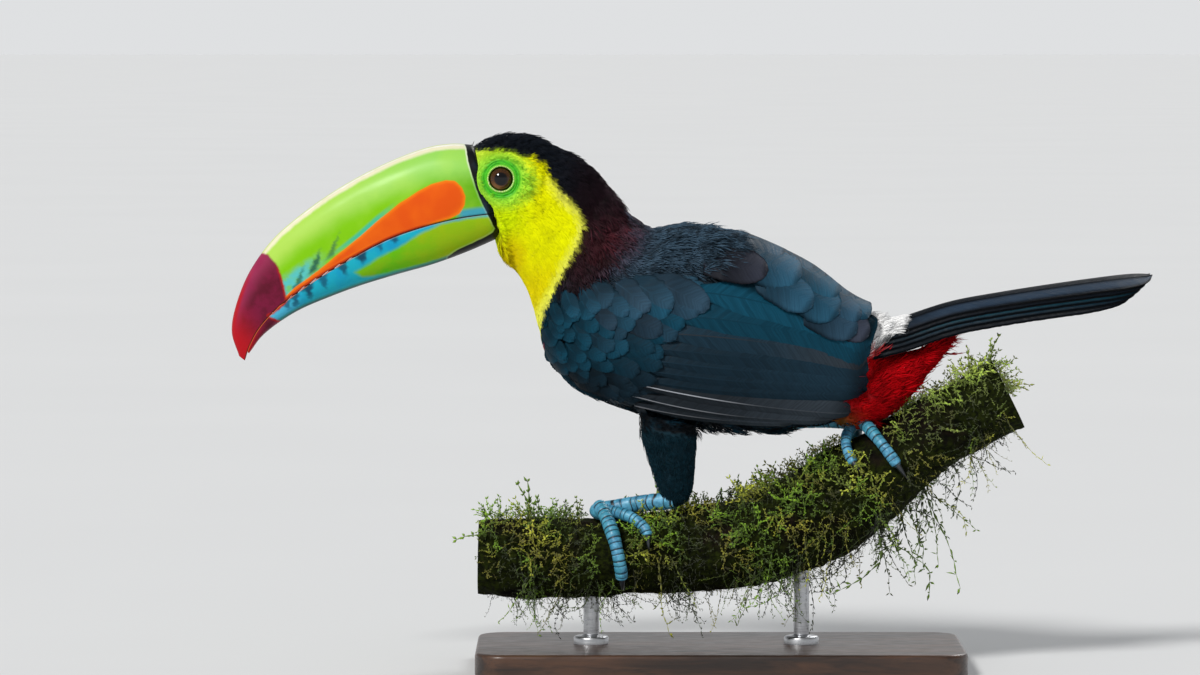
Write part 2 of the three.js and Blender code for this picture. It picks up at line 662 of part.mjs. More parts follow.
const grownBody = bodyPiece(NECK_END - 0.5, BODY_END, GAP);
for (const layer of WING_LAYERS) {
  const solid = wingLayer(layer, grownBody);
  add(`wing_left_${layer.name}`, solid, layer.material);
  add(`wing_right_${layer.name}`, cutBy(mirrored(solid), rightShankSpace), layer.material);
}

const perch = perchPiece();
const grownPerch = perchPiece(GAP);
const wingSpace = WING_LAYERS
  .map((layer) => leftSlab(inset(layer.outline, -GAP)))
  .reduce((whole, slab) => whole.add(slab))
  .intersect(wingSurface(WING_LIFT + GAP));
const rightFootSpace = footPiece(FEET.right, GAP);
add('undertail_coverts', cutBy(
  undertailPiece(), grownBody, grownPerch, wingSpace, mirrored(wingSpace), rightShankSpace,
  rightFootSpace), RED_PLUMAGE);
for (const [word, side] of [['left', LEFT], ['right', RIGHT]]) {
  for (let i = 0; i < TAIL_FEATHERS; i++) {
    add(`tail_feather_${word}_${i + 1}`, rectrix(i, side), TAIL_PLUMAGE);
  }
}

const THIGH_OUT = { left: new THREE.Vector3(1, 0, 0), right: new THREE.Vector3(0, 0, 1) };
for (const [word, side] of [['left', LEFT], ['right', RIGHT]]) {
  const foot = FEET[word];
  const overWing = side === LEFT ? wingSpace : mirrored(wingSpace);
  const thigh = cutBy(
    thighPiece(THIGHS[word], THIGH_OUT[word]), grownBody, grownPerch, overWing,
    shankPiece(foot, 1.6 * GAP));
  add(`thigh_${word}`, thigh, BLACK_PLUMAGE);
  add(`shank_${word}`, cutBy(shankPiece(foot), grownPerch, footPiece(foot, GAP)), SCALED_SKIN);
  add(`foot_${word}`, cutBy(footPiece(foot), grownPerch), SCALED_SKIN);
  for (const [place, toe] of Object.entries(foot.toes)) {
    add(`claw_${word}_${place}`, clawPiece(foot, toe), CLAW_HORN);
  }
}

add('perch', perch, MOSSY_BARK);
add('stand_base', basePiece(), STAND_WOOD);
for (const { name, x } of RODS) {
  const collarTop = BASE.height + GAP + COLLAR.height;
  const collar = upright(COLLAR.radius, BASE.height + GAP, collarTop, x);
  const rod = upright(ROD_RADIUS, collarTop + GAP, ROD_REACH, x);
  add(`stand_collar_${name}`, collar, STAND_STEEL);
  add(`stand_rod_${name}`, cutBy(rod, grownPerch), STAND_STEEL);
}

export default toucan;
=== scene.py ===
"""The visible surfaces of a life-size keel-billed toucan on its mossy perch and display stand.

Shapes are worked out in millimetres, in the same frame as the solids: the bird faces -X, its left
side faces -Y, and the origin is the middle of the underside of the stand's base.
"""
import contextlib
import math

import bmesh
import bpy
import numpy as np
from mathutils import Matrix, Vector


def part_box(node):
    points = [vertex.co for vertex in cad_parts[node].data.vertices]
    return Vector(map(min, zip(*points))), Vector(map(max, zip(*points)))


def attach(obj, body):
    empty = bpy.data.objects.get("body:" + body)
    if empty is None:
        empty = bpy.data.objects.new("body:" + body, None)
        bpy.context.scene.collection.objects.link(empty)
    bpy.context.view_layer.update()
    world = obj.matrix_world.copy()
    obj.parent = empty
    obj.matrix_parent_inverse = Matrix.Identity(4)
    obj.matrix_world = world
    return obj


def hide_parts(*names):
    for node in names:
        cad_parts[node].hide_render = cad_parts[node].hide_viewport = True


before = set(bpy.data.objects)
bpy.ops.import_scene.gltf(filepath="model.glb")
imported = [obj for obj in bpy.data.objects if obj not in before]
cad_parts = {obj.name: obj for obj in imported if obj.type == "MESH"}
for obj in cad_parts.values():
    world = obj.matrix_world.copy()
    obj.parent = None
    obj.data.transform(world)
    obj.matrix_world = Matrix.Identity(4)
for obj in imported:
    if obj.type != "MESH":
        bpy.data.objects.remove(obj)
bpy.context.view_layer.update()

MM = 0.001
LEFT, RIGHT = -1, 1
SIDES = {LEFT: "left", RIGHT: "right"}
TAU = 2 * math.pi


# ---- number helpers

def step(low, high, x):
    s = np.clip((np.asarray(x, float) - low) / (high - low), 0, 1)
    return s * s * (3 - 2 * s)


def mix(a, b, share):
    return a + (b - a) * share


def unit(v):
    return v / np.maximum(np.linalg.norm(v, axis=-1, keepdims=True), 1e-9)


def tint(code):
    """A colour written as #rrggbb, as the linear numbers that materials use."""
    c = np.array([int(code[i:i + 2], 16) for i in (1, 3, 5)]) / 255
    return np.where(c <= 0.04045, c / 12.92, ((c + 0.055) / 1.055) ** 2.4)


def curve(rows, t):
    """A smooth curve through rows, with row i at t = i."""
    rows = np.asarray(rows, float)
    t = np.clip(np.asarray(t, float), 0, len(rows) - 1)
    i = np.minimum(t.astype(int), len(rows) - 2)
    f = (t - i)[..., None]
    slopes = np.gradient(rows, axis=0)
    a, b, m, n = rows[i], rows[i + 1], slopes[i], slopes[i + 1]
    return ((2 * f**3 - 3 * f**2 + 1) * a + (f**3 - 2 * f**2 + f) * m
            + (3 * f**2 - 2 * f**3) * b + (f**3 - f**2) * n)


def wobble(points, size, seed):
    """Smooth random numbers, about -1 to 1, that change over distances of about size."""
    rng, waves = np.random.default_rng(seed), 7
    ways = unit(rng.normal(size=(waves, 3))) * rng.uniform(0.6, 1.6, (waves, 1)) * TAU / size
    return np.sin(points @ ways.T + rng.uniform(0, TAU, waves)).sum(1) / math.sqrt(waves)


def outline_distance(x, z, outline):
    """Millimetres from a closed side-view outline: below zero inside it."""
    p = np.stack([np.ravel(x), np.ravel(z)], 1)
    best, inside = np.full(len(p), 1e9), np.zeros(len(p), bool)
    corners = np.asarray(outline, float)
    for a, b in zip(corners, np.roll(corners, -1, 0)):
        edge = b - a
        s = np.clip(((p - a) @ edge) / (edge @ edge), 0, 1)
        best = np.minimum(best, np.linalg.norm(p - a - s[:, None] * edge, axis=1))
        rise = edge[1] if abs(edge[1]) > 1e-9 else 1e-9
        crosses = ((a[1] > p[:, 1]) != (b[1] > p[:, 1]))
        inside ^= crosses & (p[:, 0] < a[0] + edge[0] * (p[:, 1] - a[1]) / rise)
    return np.where(inside, -best, best).reshape(np.shape(x))


# ---- mesh helpers

def rows_of_quads(rows, columns, start=0, around=False):
    """The faces of a grid of points that is rows long, closed around its columns or not."""
    i = np.arange(rows - 1)[:, None]
    j = np.arange(columns if around else columns - 1)[None, :]
    k = (j + 1) % columns
    quads = np.stack([i * columns + j, i * columns + k, (i + 1) * columns + k,
                      (i + 1) * columns + j], -1)
    return quads.reshape(-1, 4) + start


def facing_out(points, faces):
    """The faces of a closed shell, turned so that they point outwards."""
    tri = faces[:, 3] < 0
    d = np.where(tri, faces[:, 2], faces[:, 3])
    a, b, c, e = points[faces[:, 0]], points[faces[:, 1]], points[faces[:, 2]], points[d]
    volume = (a * np.cross(b, c)).sum() + (a * np.cross(c, e)).sum()
    if volume >= 0:
        return faces
    return np.where(tri[:, None], faces[:, [2, 1, 0, 3]], faces[:, [3, 2, 1, 0]])


def ring_angles(sides):
    return np.linspace(0, TAU, sides, endpoint=False)


def ball_angles(rows, sides):
    """The angles from the pole and round it of a ball's points, without its two poles."""
    return np.meshgrid(np.linspace(0, math.pi, rows)[1:-1], ring_angles(sides), indexing="ij")


def sheet_shell(top, under):
    """Points and faces of a closed sheet between two grids, with a wall round its rim."""
    rows, columns = top.shape[:2]
    count = rows * columns
    upper = rows_of_quads(rows, columns)
    grid = np.arange(count).reshape(rows, columns)
    rim = np.concatenate([grid[0], grid[1:, -1], grid[-1, -2::-1], grid[-2:0:-1, 0]])
    after = np.roll(rim, -1)
    wall = np.stack([rim, after, after + count, rim + count], 1)
    points = np.concatenate([top.reshape(-1, 3), under.reshape(-1, 3)])
    return points, facing_out(points, np.concatenate([upper, upper[:, ::-1] + count, wall]))


def over_tube(rows, sides, ends):
    """One number for each ring of a tube, and one for each end, given to all its points."""
    return np.concatenate([np.repeat(rows, sides), ends])


def round_tube(rows, sides):
    """How far round a tube each of its points is, 0 to 1."""
    return np.concatenate([np.tile(np.linspace(0, 1, sides), rows), [0.5, 0.5]])


def tube_shell(rings):
    """Points and faces of a closed tube through rings of points, with a fan over each end."""
    count, sides = rings.shape[:2]
    points = np.concatenate([rings.reshape(-1, 3), rings[0].mean(0)[None], rings[-1].mean(0)[None]])
    j = np.arange(sides)
    k = (j + 1) % sides
    none = np.full(sides, -1)
    first, last = count * sides, count * sides + 1
    ends = [np.stack([k, j, np.full(sides, first), none], 1),
            np.stack([last - 1 - sides + j, last - 1 - sides + k, np.full(sides, last), none], 1)]
    return points, facing_out(points, np.concatenate([rows_of_quads(count, sides, 0, True), *ends]))


class Shells:
    """Closed shells gathered into one mesh, with their numbers for the materials."""

    def __init__(self):
        self.points, self.faces, self.numbers, self.patch, self.count = [], [], {}, [], 0

    def add(self, points, faces, patch=None, **numbers):
        self.points.append(points)
        self.faces.append(np.where(faces < 0, -1, faces + self.count))
        for name, values in numbers.items():
            values = np.asarray(values, float)
            if values.ndim == 1 and len(values) != len(points):
                values = np.tile(values, (len(points), 1))
            self.numbers.setdefault(name, []).append(values)
        self.patch.append(np.zeros((len(points), 2)) if patch is None else patch)
        self.count += len(points)

    def mesh(self, name, material=None):
        made = mesh_object(name, np.concatenate(self.points), np.concatenate(self.faces), material)
        for key, values in self.numbers.items():
            give(made.data, key, np.concatenate(values))
        return made

    def build(self, name, material, slot, replaced=()):
        made = self.mesh(name, material)
        lay_map(made.data, np.concatenate(self.patch))
        return finished(made, replaced)

    def pattern(self, name):
        """The shells as a shape one unit long for a tree to repeat, kept out of the scene."""
        made = self.mesh(name)
        bpy.context.scene.collection.objects.unlink(made)
        return made


def mesh_object(name, points, faces, material=None):
    mesh = bpy.data.meshes.new(name)
    sizes = (faces >= 0).sum(1)
    loops = faces[faces >= 0]
    mesh.vertices.add(len(points))
    mesh.vertices.foreach_set("co", (points * MM).astype(np.float32).ravel())
    mesh.loops.add(len(loops))
    mesh.loops.foreach_set("vertex_index", loops.astype(np.int32))
    mesh.polygons.add(len(faces))
    mesh.polygons.foreach_set("loop_start", (np.cumsum(sizes) - sizes).astype(np.int32))
    mesh.update(calc_edges=True)
    mesh.shade_smooth()
    made = bpy.data.objects.new(name, mesh)
    bpy.context.scene.collection.objects.link(made)
    if material:
        mesh.materials.append(material)
    return made


def give(mesh, name, values):
    """Numbers for the materials and feather makers to read, one or three for each point."""
    kind = "FLOAT" if np.ndim(values) == 1 else \
        "FLOAT_COLOR" if name.endswith("colour") else "FLOAT_VECTOR"
    mesh.attributes.new(name, kind, "POINT")
    change(mesh, name, values)


def change(mesh, name, values):
    layer = mesh.attributes[name]
    if layer.data_type == "FLOAT_COLOR":
        values = np.insert(values, 3, 1, 1)
    part = {"FLOAT": "value", "FLOAT_COLOR": "color", "FLOAT_VECTOR": "vector"}[layer.data_type]
    layer.data.foreach_set(part, np.asarray(values, np.float32).ravel())


def lay_map(mesh, places):
    """A UV map from one place for each point."""
    corners = np.zeros(len(mesh.loops), np.int32)
    mesh.loops.foreach_get("vertex_index", corners)
    layer = mesh.uv_layers.new(name="OFBake")
    layer.data.foreach_set("uv", places[corners].astype(np.float32).ravel())


def finished(made, replaced=()):
    if replaced:
        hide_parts(*replaced)
    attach(made, "root")
    return made


def points_of(mesh):
    co = np.zeros(len(mesh.vertices) * 3, np.float32)
    mesh.vertices.foreach_get("co", co)
    return co.reshape(-1, 3).astype(float) / MM


def move_points(mesh, points):
    mesh.vertices.foreach_set("co", (points * MM).astype(np.float32).ravel())
    mesh.update()


def normals_of(mesh):
    n = np.zeros(len(mesh.vertices) * 3, np.float32)
    mesh.vertex_normals.foreach_get("vector", n)
    return n.reshape(-1, 3).astype(float)


# ---- material helpers

class Nodes:
    """Nodes of a material, a sky or a Geometry Nodes tree, put together a step at a time."""

    def __init__(self, tree):
        self.tree = tree

    def node(self, kind, inputs=None, **settings):
        made = self.tree.nodes.new(kind)
        for key, value in settings.items():
            setattr(made, key, value)
        for key, value in (inputs or {}).items():
            self.join(value, made.inputs[key])
        return made

    def join(self, value, socket):
        if isinstance(value, bpy.types.NodeSocket):
            self.tree.links.new(value, socket)
        elif value is not None:
            if socket.type == "RGBA":
                value = (*(tint(value) if isinstance(value, str) else value), 1)
            socket.default_value = value

    def math(self, operation, a, b=None):
        return self.node("ShaderNodeMath", {0: a, 1: b}, operation=operation).outputs[0]

    def vector_math(self, operation, a, b):
        return self.node("ShaderNodeVectorMath", {0: a, 1: b}, operation=operation).outputs[0]

    def times(self, a, b):
        return self.math("MULTIPLY", a, b)

    def plus(self, a, b):
        return self.math("ADD", a, b)

    def band(self, value, low, high, to_low=0.0, to_high=1.0):
        """value carried from low..high to to_low..to_high, with soft ends."""
        return self.node("ShaderNodeMapRange", {
            "Value": value, "From Min": low, "From Max": high, "To Min": to_low, "To Max": to_high,
        }, interpolation_type="SMOOTHSTEP").outputs[0]

    def split(self, vector):
        return self.node("ShaderNodeSeparateXYZ", {"Vector": vector}).outputs


class Finish(Nodes):
    """A node material."""

    def __init__(self, name, **shader):
        self.material = bpy.data.materials.new(name)
        self.material.use_nodes = True
        super().__init__(self.material.node_tree)
        self.shader = next(n for n in self.tree.nodes if n.type == "BSDF_PRINCIPLED")
        for socket, value in shader.items():
            self.shader.inputs[socket.replace("_", " ")].default_value = value

    def read(self, name, part="Fac"):
        return self.node("ShaderNodeAttribute", attribute_name=name).outputs[part]

    def place(self):
        return self.node("ShaderNodeTexCoord").outputs["Object"]

    def waver(self, size, depth, detail=3.0):
        """Noise that swings either side of zero by half of depth."""
        return self.times(self.math("SUBTRACT", self.noise(size, detail), 0.5), depth)

    def lit(self, base, red, blue=None):
        """A colour made lighter or darker by a number."""
        return self.blend(1.0, base, self.node("ShaderNodeCombineColor", {
            "Red": red, "Green": red, "Blue": blue or red}).outputs[0], "MULTIPLY")

    def blend(self, share, a, b, kind="MIX"):
        made = self.node("ShaderNodeMix", data_type="RGBA", blend_type=kind)
        for value, index in ((share, 0), (a, 6), (b, 7)):
            self.join(value, made.inputs[index])
        return made.outputs[2]

    def stretch(self, vector, scale, turn=(0, 0, 0)):
        return self.node("ShaderNodeMapping", {
            "Vector": vector, "Scale": scale, "Rotation": turn}).outputs[0]

    def noise(self, scale, detail=3.0, rough=0.55, vector=None, distort=0.0):
        return self.node("ShaderNodeTexNoise", {
            "Vector": vector or self.place(), "Scale": scale, "Detail": detail,
            "Roughness": rough, "Distortion": distort}).outputs["Fac"]

    def bump(self, height, depth, strength=1.0, over=None):
        """depth is the relief's height in millimetres."""
        return self.node("ShaderNodeBump", {
            "Height": height, "Distance": depth * MM, "Strength": strength,
            "Normal": over}).outputs[0]

    def done(self, colour, roughness=None, normal=None):
        self.join(colour, self.shader.inputs["Base Color"])
        self.join(roughness, self.shader.inputs["Roughness"])
        self.join(normal, self.shader.inputs["Normal"])
        return self.material


# ---- stage and light

def aim(thing, place, target):
    thing.location = place
    thing.rotation_euler = (Vector(target) - Vector(place)).to_track_quat("-Z", "Y").to_euler()


VIEW_MIDDLE = (-0.0615, 0.0, 0.1695)
VIEW_DISTANCE = 3.077
VIEW_RISE = math.radians(3.0)


def camera():
    lens = bpy.data.cameras.new("view")
    lens.lens, lens.sensor_width = 180, 36
    made = bpy.data.objects.new("view", lens)
    bpy.context.scene.collection.objects.link(made)
    x, y, z = VIEW_MIDDLE
    aim(made, (x, y - VIEW_DISTANCE * math.cos(VIEW_RISE), z + VIEW_DISTANCE * math.sin(VIEW_RISE)),
        VIEW_MIDDLE)
    bpy.context.scene.camera = made


def sun(name, towards, strength, softness, warmth=(1, 1, 1)):
    lamp = bpy.data.lights.new(name, "SUN")
    lamp.energy, lamp.angle, lamp.color = strength, math.radians(softness), warmth
    made = bpy.data.objects.new(name, lamp)
    bpy.context.scene.collection.objects.link(made)
    aim(made, towards, (0, 0, 0))


def studio():
    camera()
    scene = bpy.context.scene
    scene.view_settings.view_transform = "Standard"
    world = bpy.data.worlds.new("studio")
    scene.world = world
    world.use_nodes = True
    sky = Nodes(world.node_tree)
    background = next(n for n in sky.tree.nodes if n.type == "BACKGROUND")
    height = sky.split(sky.node("ShaderNodeTexCoord").outputs["Generated"])["Z"]
    sky.join(sky.band(height, 0.06, 0.4, 0.76, 0.3), background.inputs["Strength"])
    sky.join((0.97, 0.985, 1.0), background.inputs["Color"])
    sun("key", (-0.75, -1.05, 1.1), 2.4, 14, (1, 0.985, 0.96))
    sun("rim", (0.5, 1.0, 0.9), 0.9, 25)
    floor_reach = 60000.0
    corners = np.array([[-1, -1, 0], [1, -1, 0], [1, 1, 0], [-1, 1, 0]]) * floor_reach
    paper = Finish("studio_paper", Roughness=0.9, Specular_IOR_Level=0.0)
    floor = mesh_object("studio_floor", corners, np.array([[0, 1, 2, 3]]), paper.done(
        paper.blend(paper.noise(2.0, 2), (0.71, 0.72, 0.73), (0.74, 0.75, 0.76))))


# ---- the bird's form

# Stations from the bill's root to the tail's root: a point of the back and one of the belly, as
# [x, z], then the half width and how much fuller the back is than the belly.
BODY = np.array([
    [-128.0, 267.6, -114.6, 215.6, 16.5, 0.0], [-121.0, 271.0, -111.3, 208.7, 20.0, 0.12],
    [-108.7, 273.6, -105.1, 203.1, 22.5, 0.2], [-94.9, 272.6, -100.5, 195.4, 23.5, 0.22],
    [-82.1, 266.5, -97.4, 186.2, 24.0, 0.18], [-67.7, 257.2, -94.4, 174.9, 25.0, 0.08],
    [-56.4, 244.4, -90.8, 163.6, 28.0, -0.05], [-47.7, 232.1, -85.6, 154.4, 33.0, -0.1],
    [-36.9, 225.0, -75.9, 144.1, 38.0, -0.1], [-17.9, 226.5, -59.0, 135.4, 41.5, -0.05],
    [2.6, 221.2, -30.8, 126.7, 42.5, 0.0], [25.6, 212.3, 2.6, 121.5, 40.0, 0.0],
    [47.8, 201.0, 35.9, 122.0, 34.0, 0.0], [67.4, 186.6, 62.6, 128.2, 25.0, 0.0],
    [84.0, 180.0, 80.0, 157.0, 16.0, 0.0], [93.5, 181.0, 90.5, 164.0, 12.5, 0.0],
])
BODY_END = len(BODY) - 1
ROOT_BOW = 3.0

WING_START, WING_RISEN = 7.4, 9.4
WING_LIFT = 5.5
WING_POWER = 0.45
RIDGE_LEVEL = 0.00002  # how near the wing's sheet comes to the middle of the back
WING_OUTLINE = [
    (-42, 134.5), (-57, 136), (-71, 146), (-78, 163), (-76, 184), (-62, 206), (-41, 204.5),
    (-12, 207), (-16, 217), (-12, 233), (10, 231), (23, 222), (41, 213.5), (57, 204), (67, 195),
    (77, 184), (80, 172), (78.5, 167.5), (75.5, 155), (76, 138), (66, 137), (68, 127.8),
    (57, 123.5), (21, 124), (-10, 127.5),
]
EYE = dict(x=-111.9, z=251.4, y=16.2, radius=7.0)


def from_eye(x, z):
    return np.hypot(x - EYE["x"], z - EYE["z"])


def body_surface(t, angle, lift=0.0, power=1.0):
    """A point of the body. angle is 0 at the back and grows towards the bird's right side."""
    row = curve(BODY, t)
    back, belly, half, bias = row[..., 0:2], row[..., 2:4], row[..., 4], row[..., 5]
    outward = unit(back - belly)
    lift = np.broadcast_to(lift, np.shape(half))
    back = back + outward * lift[..., None]
    belly = belly - outward * lift[..., None]
    level = (1 - np.cos(angle)) / 2
    sine = np.sin(angle)
    side = np.sign(sine) * np.abs(sine) ** np.where(level > 0.5, power, 1.0)
    xz = back + (belly - back) * level[..., None]
    bow = np.where(level < 0.7, -ROOT_BOW * np.sin(math.pi * np.clip(level, 0, 0.7) / 0.7), 0)
    x = xz[..., 0] + np.clip(1 - t, 0, 1) * bow
    y = (half + lift) * side * (1 + bias * np.cos(angle))
    return np.stack([x, y, xz[..., 1]], -1)


STATIONS = np.linspace(0, BODY_END, 301)


def station_of(x, z):
    """The body's station at a side-view place, and the level there: 0 at the back, 1 below."""
    rows = curve(BODY, STATIONS)
    back, belly = rows[:, 0:2], rows[:, 2:4]
    down = belly - back
    length = np.linalg.norm(down, axis=1)
    down = down / length[:, None]
    p = np.stack([np.ravel(x), np.ravel(z)], 1)
    best_t, best_level = np.zeros(len(p)), np.zeros(len(p))
    for some in np.array_split(np.arange(len(p)), max(1, len(p) // 20000)):
        rel = p[some, None] - back[None]
        level = (rel * down).sum(-1) / length
        across = rel[..., 0] * down[:, 1] - rel[..., 1] * down[:, 0]
        off = np.abs(across) + np.maximum(0, np.abs(level - 0.5) - 0.6) * length
        i = off.argmin(1)
        j = np.clip(i + np.where(across[np.arange(len(i)), i] > 0, -1, 1), 0, len(STATIONS) - 1)
        a, b = across[np.arange(len(i)), i], across[np.arange(len(i)), j]
        share = np.clip(np.where(a * b < 0, a / np.where(a == b, 1, a - b), 0), 0, 1)
        best_t[some] = mix(STATIONS[i], STATIONS[j], share)
        best_level[some] = mix(level[np.arange(len(i)), i], level[np.arange(len(i)), j], share)
    return best_t.reshape(np.shape(x)), best_level.reshape(np.shape(x))


def wing_lift(t, lift):
    return lift * step(WING_START, WING_RISEN, t)


def wing_point(x, z, lift, side):
    """The point of the folded wing's surface at a side-view place, lift above the body."""
    t, level = station_of(x, z)
    rows = curve(BODY, t)
    outward = rows[..., 0:2] - rows[..., 2:4]
    length = np.linalg.norm(outward, axis=-1)
    lift = wing_lift(t, lift)
    tall = length + 2 * lift
    level = (level * length + lift) / tall
    over = np.maximum(RIDGE_LEVEL - level, 0) * tall / length
    x, z = np.moveaxis(np.stack([x, z], -1) - outward * over[..., None], -1, 0)
    level = np.maximum(level, RIDGE_LEVEL)
    cosine = np.clip(1 - 2 * level, -0.995, 1)
    sine = np.sqrt(1 - cosine**2)
    out = sine ** np.where(cosine < 0, WING_POWER, 1.0)
    y = (rows[..., 4] + lift) * out * (1 + rows[..., 5] * cosine)
    return np.stack([x, side * y, z], -1)


SHOULDER = [(-94, 176), (-89, 158), (-80, 146), (-62, 135), (-45, 131), (-45, 150), (-60, 196),
            (-76, 186)]


# ---- plumage colours

BIB = [(-145, 262), (-126.7, 265.6), (-117.4, 265.3), (-107.7, 264.8), (-97.4, 262.3),
       (-92.3, 260.5), (-87.2, 255.4), (-82.1, 249.2), (-76.9, 244.1), (-71.8, 238.5),
       (-68.7, 233.3), (-68.2, 227.2), (-70.3, 219.5), (-73.3, 213.3), (-76.9, 207.2),
       (-81.0, 199.0), (-84.6, 191.3), (-87.7, 183.6), (-89.3, 175.9), (-89.8, 168.2),
       (-87.5, 160.5), (-96, 155), (-150, 150)]
FRINGE = 2.4  # how far the yellow strands reach beyond their roots
YELLOW = tint("#f2f400")
YELLOW_GREEN = tint("#d2f404")
YELLOW_PALE = tint("#f8f87c")
YELLOW_OCHRE = tint("#d8b400")
YELLOW_TOP = tint("#faf800")
FACE_PALE = tint("#b6ee50")
EYE_GREEN = tint("#4cbe22")
EYE_GREEN_DEEP = tint("#1c7a14")
LID_GREEN = tint("#8ad846")
CROWN = tint("#151b24")
MAROON = tint("#1f1118")
MAROON_RED = tint("#4a1a22")
MANTLE = tint("#324656")
BREAST = tint("#0a384a")
BELLY = tint("#0b0f14")
THIGH = tint("#0c2c38")
WHITE = tint("#fefefe")
RED = tint("#c80410")
RED_DEEP = tint("#90040c")
ORANGE_BROWN = tint("#6e5a1c")
TEAL = tint("#10485e")
TEAL_DEEP = tint("#082c3c")
BLUE_GREY = tint("#307090")
MAUVE = tint("#464a5a")
SLATE = tint("#1e3848")
UMBER = tint("#323a42")
SHAFT = tint("#a4a8b0")


def shade(base, other, share):
    return base + (other - base) * np.asarray(share)[:, None]


def plumage_colour(p, t, level):
    """The colour of the plumage at points of the skin."""
    x, y, z = p.T
    blur = wobble(p, 9, 5)
    fine = wobble(p, 3.5, 6)
    c = shade(np.tile(MANTLE, (len(p), 1)), BREAST, step(0.3, 0.62, level + 0.05 * blur))
    c = shade(c, BELLY, step(0.86, 1.0, level + 0.04 * blur) * step(7.5, 9.5, t))
    nape = step(0.85, 0.5, level + 0.08 * blur) * step(7.7, 6.3, t + 0.25 * blur)
    c = shade(c, MAROON, nape)
    flush = np.exp(-((x + 59) / 17) ** 2 - ((z - 221 - 0.2 * (x + 59)) / 12) ** 2)
    flush = flush * (0.75 + 0.35 * fine)
    c = shade(c, MAROON_RED, np.clip(flush, 0, 0.9) * step(8.6, 7.2, t))
    c = shade(c, CROWN, step(5.6, 3.6, t + 0.7 * level + 0.15 * blur))
    edge = outline_distance(x, z, BIB) + 0.5 * fine + FRINGE * step(262, 250, z)
    y_in = YELLOW * (1 + 0.05 * blur[:, None])
    y_in = shade(y_in, YELLOW_GREEN, 0.7 * step(26, 8, np.hypot(x + 120, z - 235)))
    y_in = shade(y_in, YELLOW_TOP, 0.75 * step(-7, -2, edge) * step(252, 260, z))
    y_in = shade(y_in, YELLOW_PALE,
                 0.5 * step(-6, -2, edge) * step(256, 246, z) * step(-97, -84, x))
    under = step(13, 2, np.hypot(x + 109, (z - 210) / 1.6)) * step(-125, -112, x - 0.35 * (z - 208))
    under = np.maximum(under, 0.75 * step(222, 196, z) * step(-2, -8, edge))
    y_in = shade(y_in, YELLOW_OCHRE, 0.7 * under)
    y_in = shade(y_in, YELLOW_PALE, 0.5 * step(200, 182, z) * step(-8, -3, edge))
    y_in = shade(y_in, FACE_PALE, 0.6 * step(-112, -124, x) * step(236, 250, z))
    y_in = shade(y_in, FACE_PALE * np.array([0.7, 0.95, 0.6]), step(18, 11, from_eye(x, z)) * 0.85)
    c = shade(c, y_in, step(0.35, -0.35, edge))
    red_band = step(4.4, 3.2, edge) * step(-0.2, 0.4, edge) * step(11, 7, np.abs(y)) \
        * step(169, 166, z)
    c = shade(c, RED, red_band)
    tail_root = step(13.15, 13.35, t + 0.02 * fine)
    over_tail = z - 160.9 - 1.06 * (x - 75.9) + 0.8 * fine
    c = shade(c, SLATE * 0.3, tail_root)
    c = shade(c, WHITE, tail_root * step(-1.6, 0.4, over_tail) * (level < 1.04))
    c = shade(c, RED, tail_root * step(162.0, 159.5, z + 0.8 * fine))
    return c


# ---- skin

# How far the skin lies inside the plumage's outline, by the plumage above it.
COAT_DEPTH = 1.5
FACE_DEPTH = 0.8
WING_DEPTH = 4.8
SHOULDER_DEPTH = 2.4
MANTLE_DEPTH = 0.4
SKIN_GRAIN = 1.4  # the skin mesh's spacing
SKIN_SMOOTHING = 6  # how many times its points are drawn half way to their neighbours
EYE_SIDE = 8  # how far off the middle of the head the skin round an eye begins
EYE_FLAT = 20.0  # how far off the middle the bare skin round an eye lies
BARE_REACH = 14  # how far from an eye's centre the skin is set round it
LID_EDGE = 6.2


def inner_form():
    """The body with its folded wings as one closed surface, before its legs and undertail."""
    rows, sides = 300, 150
    t = np.linspace(0.02, BODY_END, rows)[:, None] + np.zeros((1, sides))
    angle = ring_angles(sides)[None] + np.zeros((rows, 1))
    base = body_surface(t, angle)
    raised = body_surface(t, angle, wing_lift(t, WING_LIFT), WING_POWER)
    inside = outline_distance(raised[..., 0], raised[..., 2], WING_OUTLINE)
    melt = mix(1.8, 11.0, step(138, 152, raised[..., 2]) * step(40, 10, raised[..., 0]))
    share = step(0, 1, (0.3 - inside) / melt)
    rings = mix(base, raised, share[..., None])
    z = rings[..., 2]
    brow = np.clip(1 - t / 0.6, 0, 1) ** 2 * step(238, 256, z) * step(269, 264, z)
    cheek = np.clip(1 - t / 0.8, 0, 1) * step(246, 234, z) * step(216, 223, z)
    rings[..., 0] -= 2.6 * brow
    rings[..., 0] += 5.0 * cheek
    return tube_shell(rings)


@contextlib.contextmanager
def edited(mesh, starts_with=None):
    """A mesh opened for changes to its faces. starts_with is a mesh to begin from instead."""
    whole = bmesh.new()
    whole.from_mesh(starts_with or mesh)
    yield whole
    whole.to_mesh(mesh)
    whole.free()


def joined_copy(node):
    """A plain mesh of a solid's shape, with its loose triangles merged."""
    mesh = bpy.data.meshes.new(node + "_copy")
    with edited(mesh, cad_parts[node].data) as whole:
        bmesh.ops.remove_doubles(whole, verts=whole.verts, dist=1e-6)
    return mesh


def apply_modifiers(made):
    graph = bpy.context.evaluated_depsgraph_get()
    mesh = bpy.data.meshes.new_from_object(
        made.evaluated_get(graph), preserve_all_data_layers=True, depsgraph=graph)
    made.modifiers.clear()
    old = made.data
    made.data = mesh
    bpy.data.meshes.remove(old)


def neighbours_mean(points, edges):
    total = np.zeros_like(points)
    np.add.at(total, edges[:, 0], points[edges[:, 1]])
    np.add.at(total, edges[:, 1], points[edges[:, 0]])
    degree = np.bincount(edges.ravel(), minlength=len(points))[:, None]
    return total / np.maximum(degree, 1)


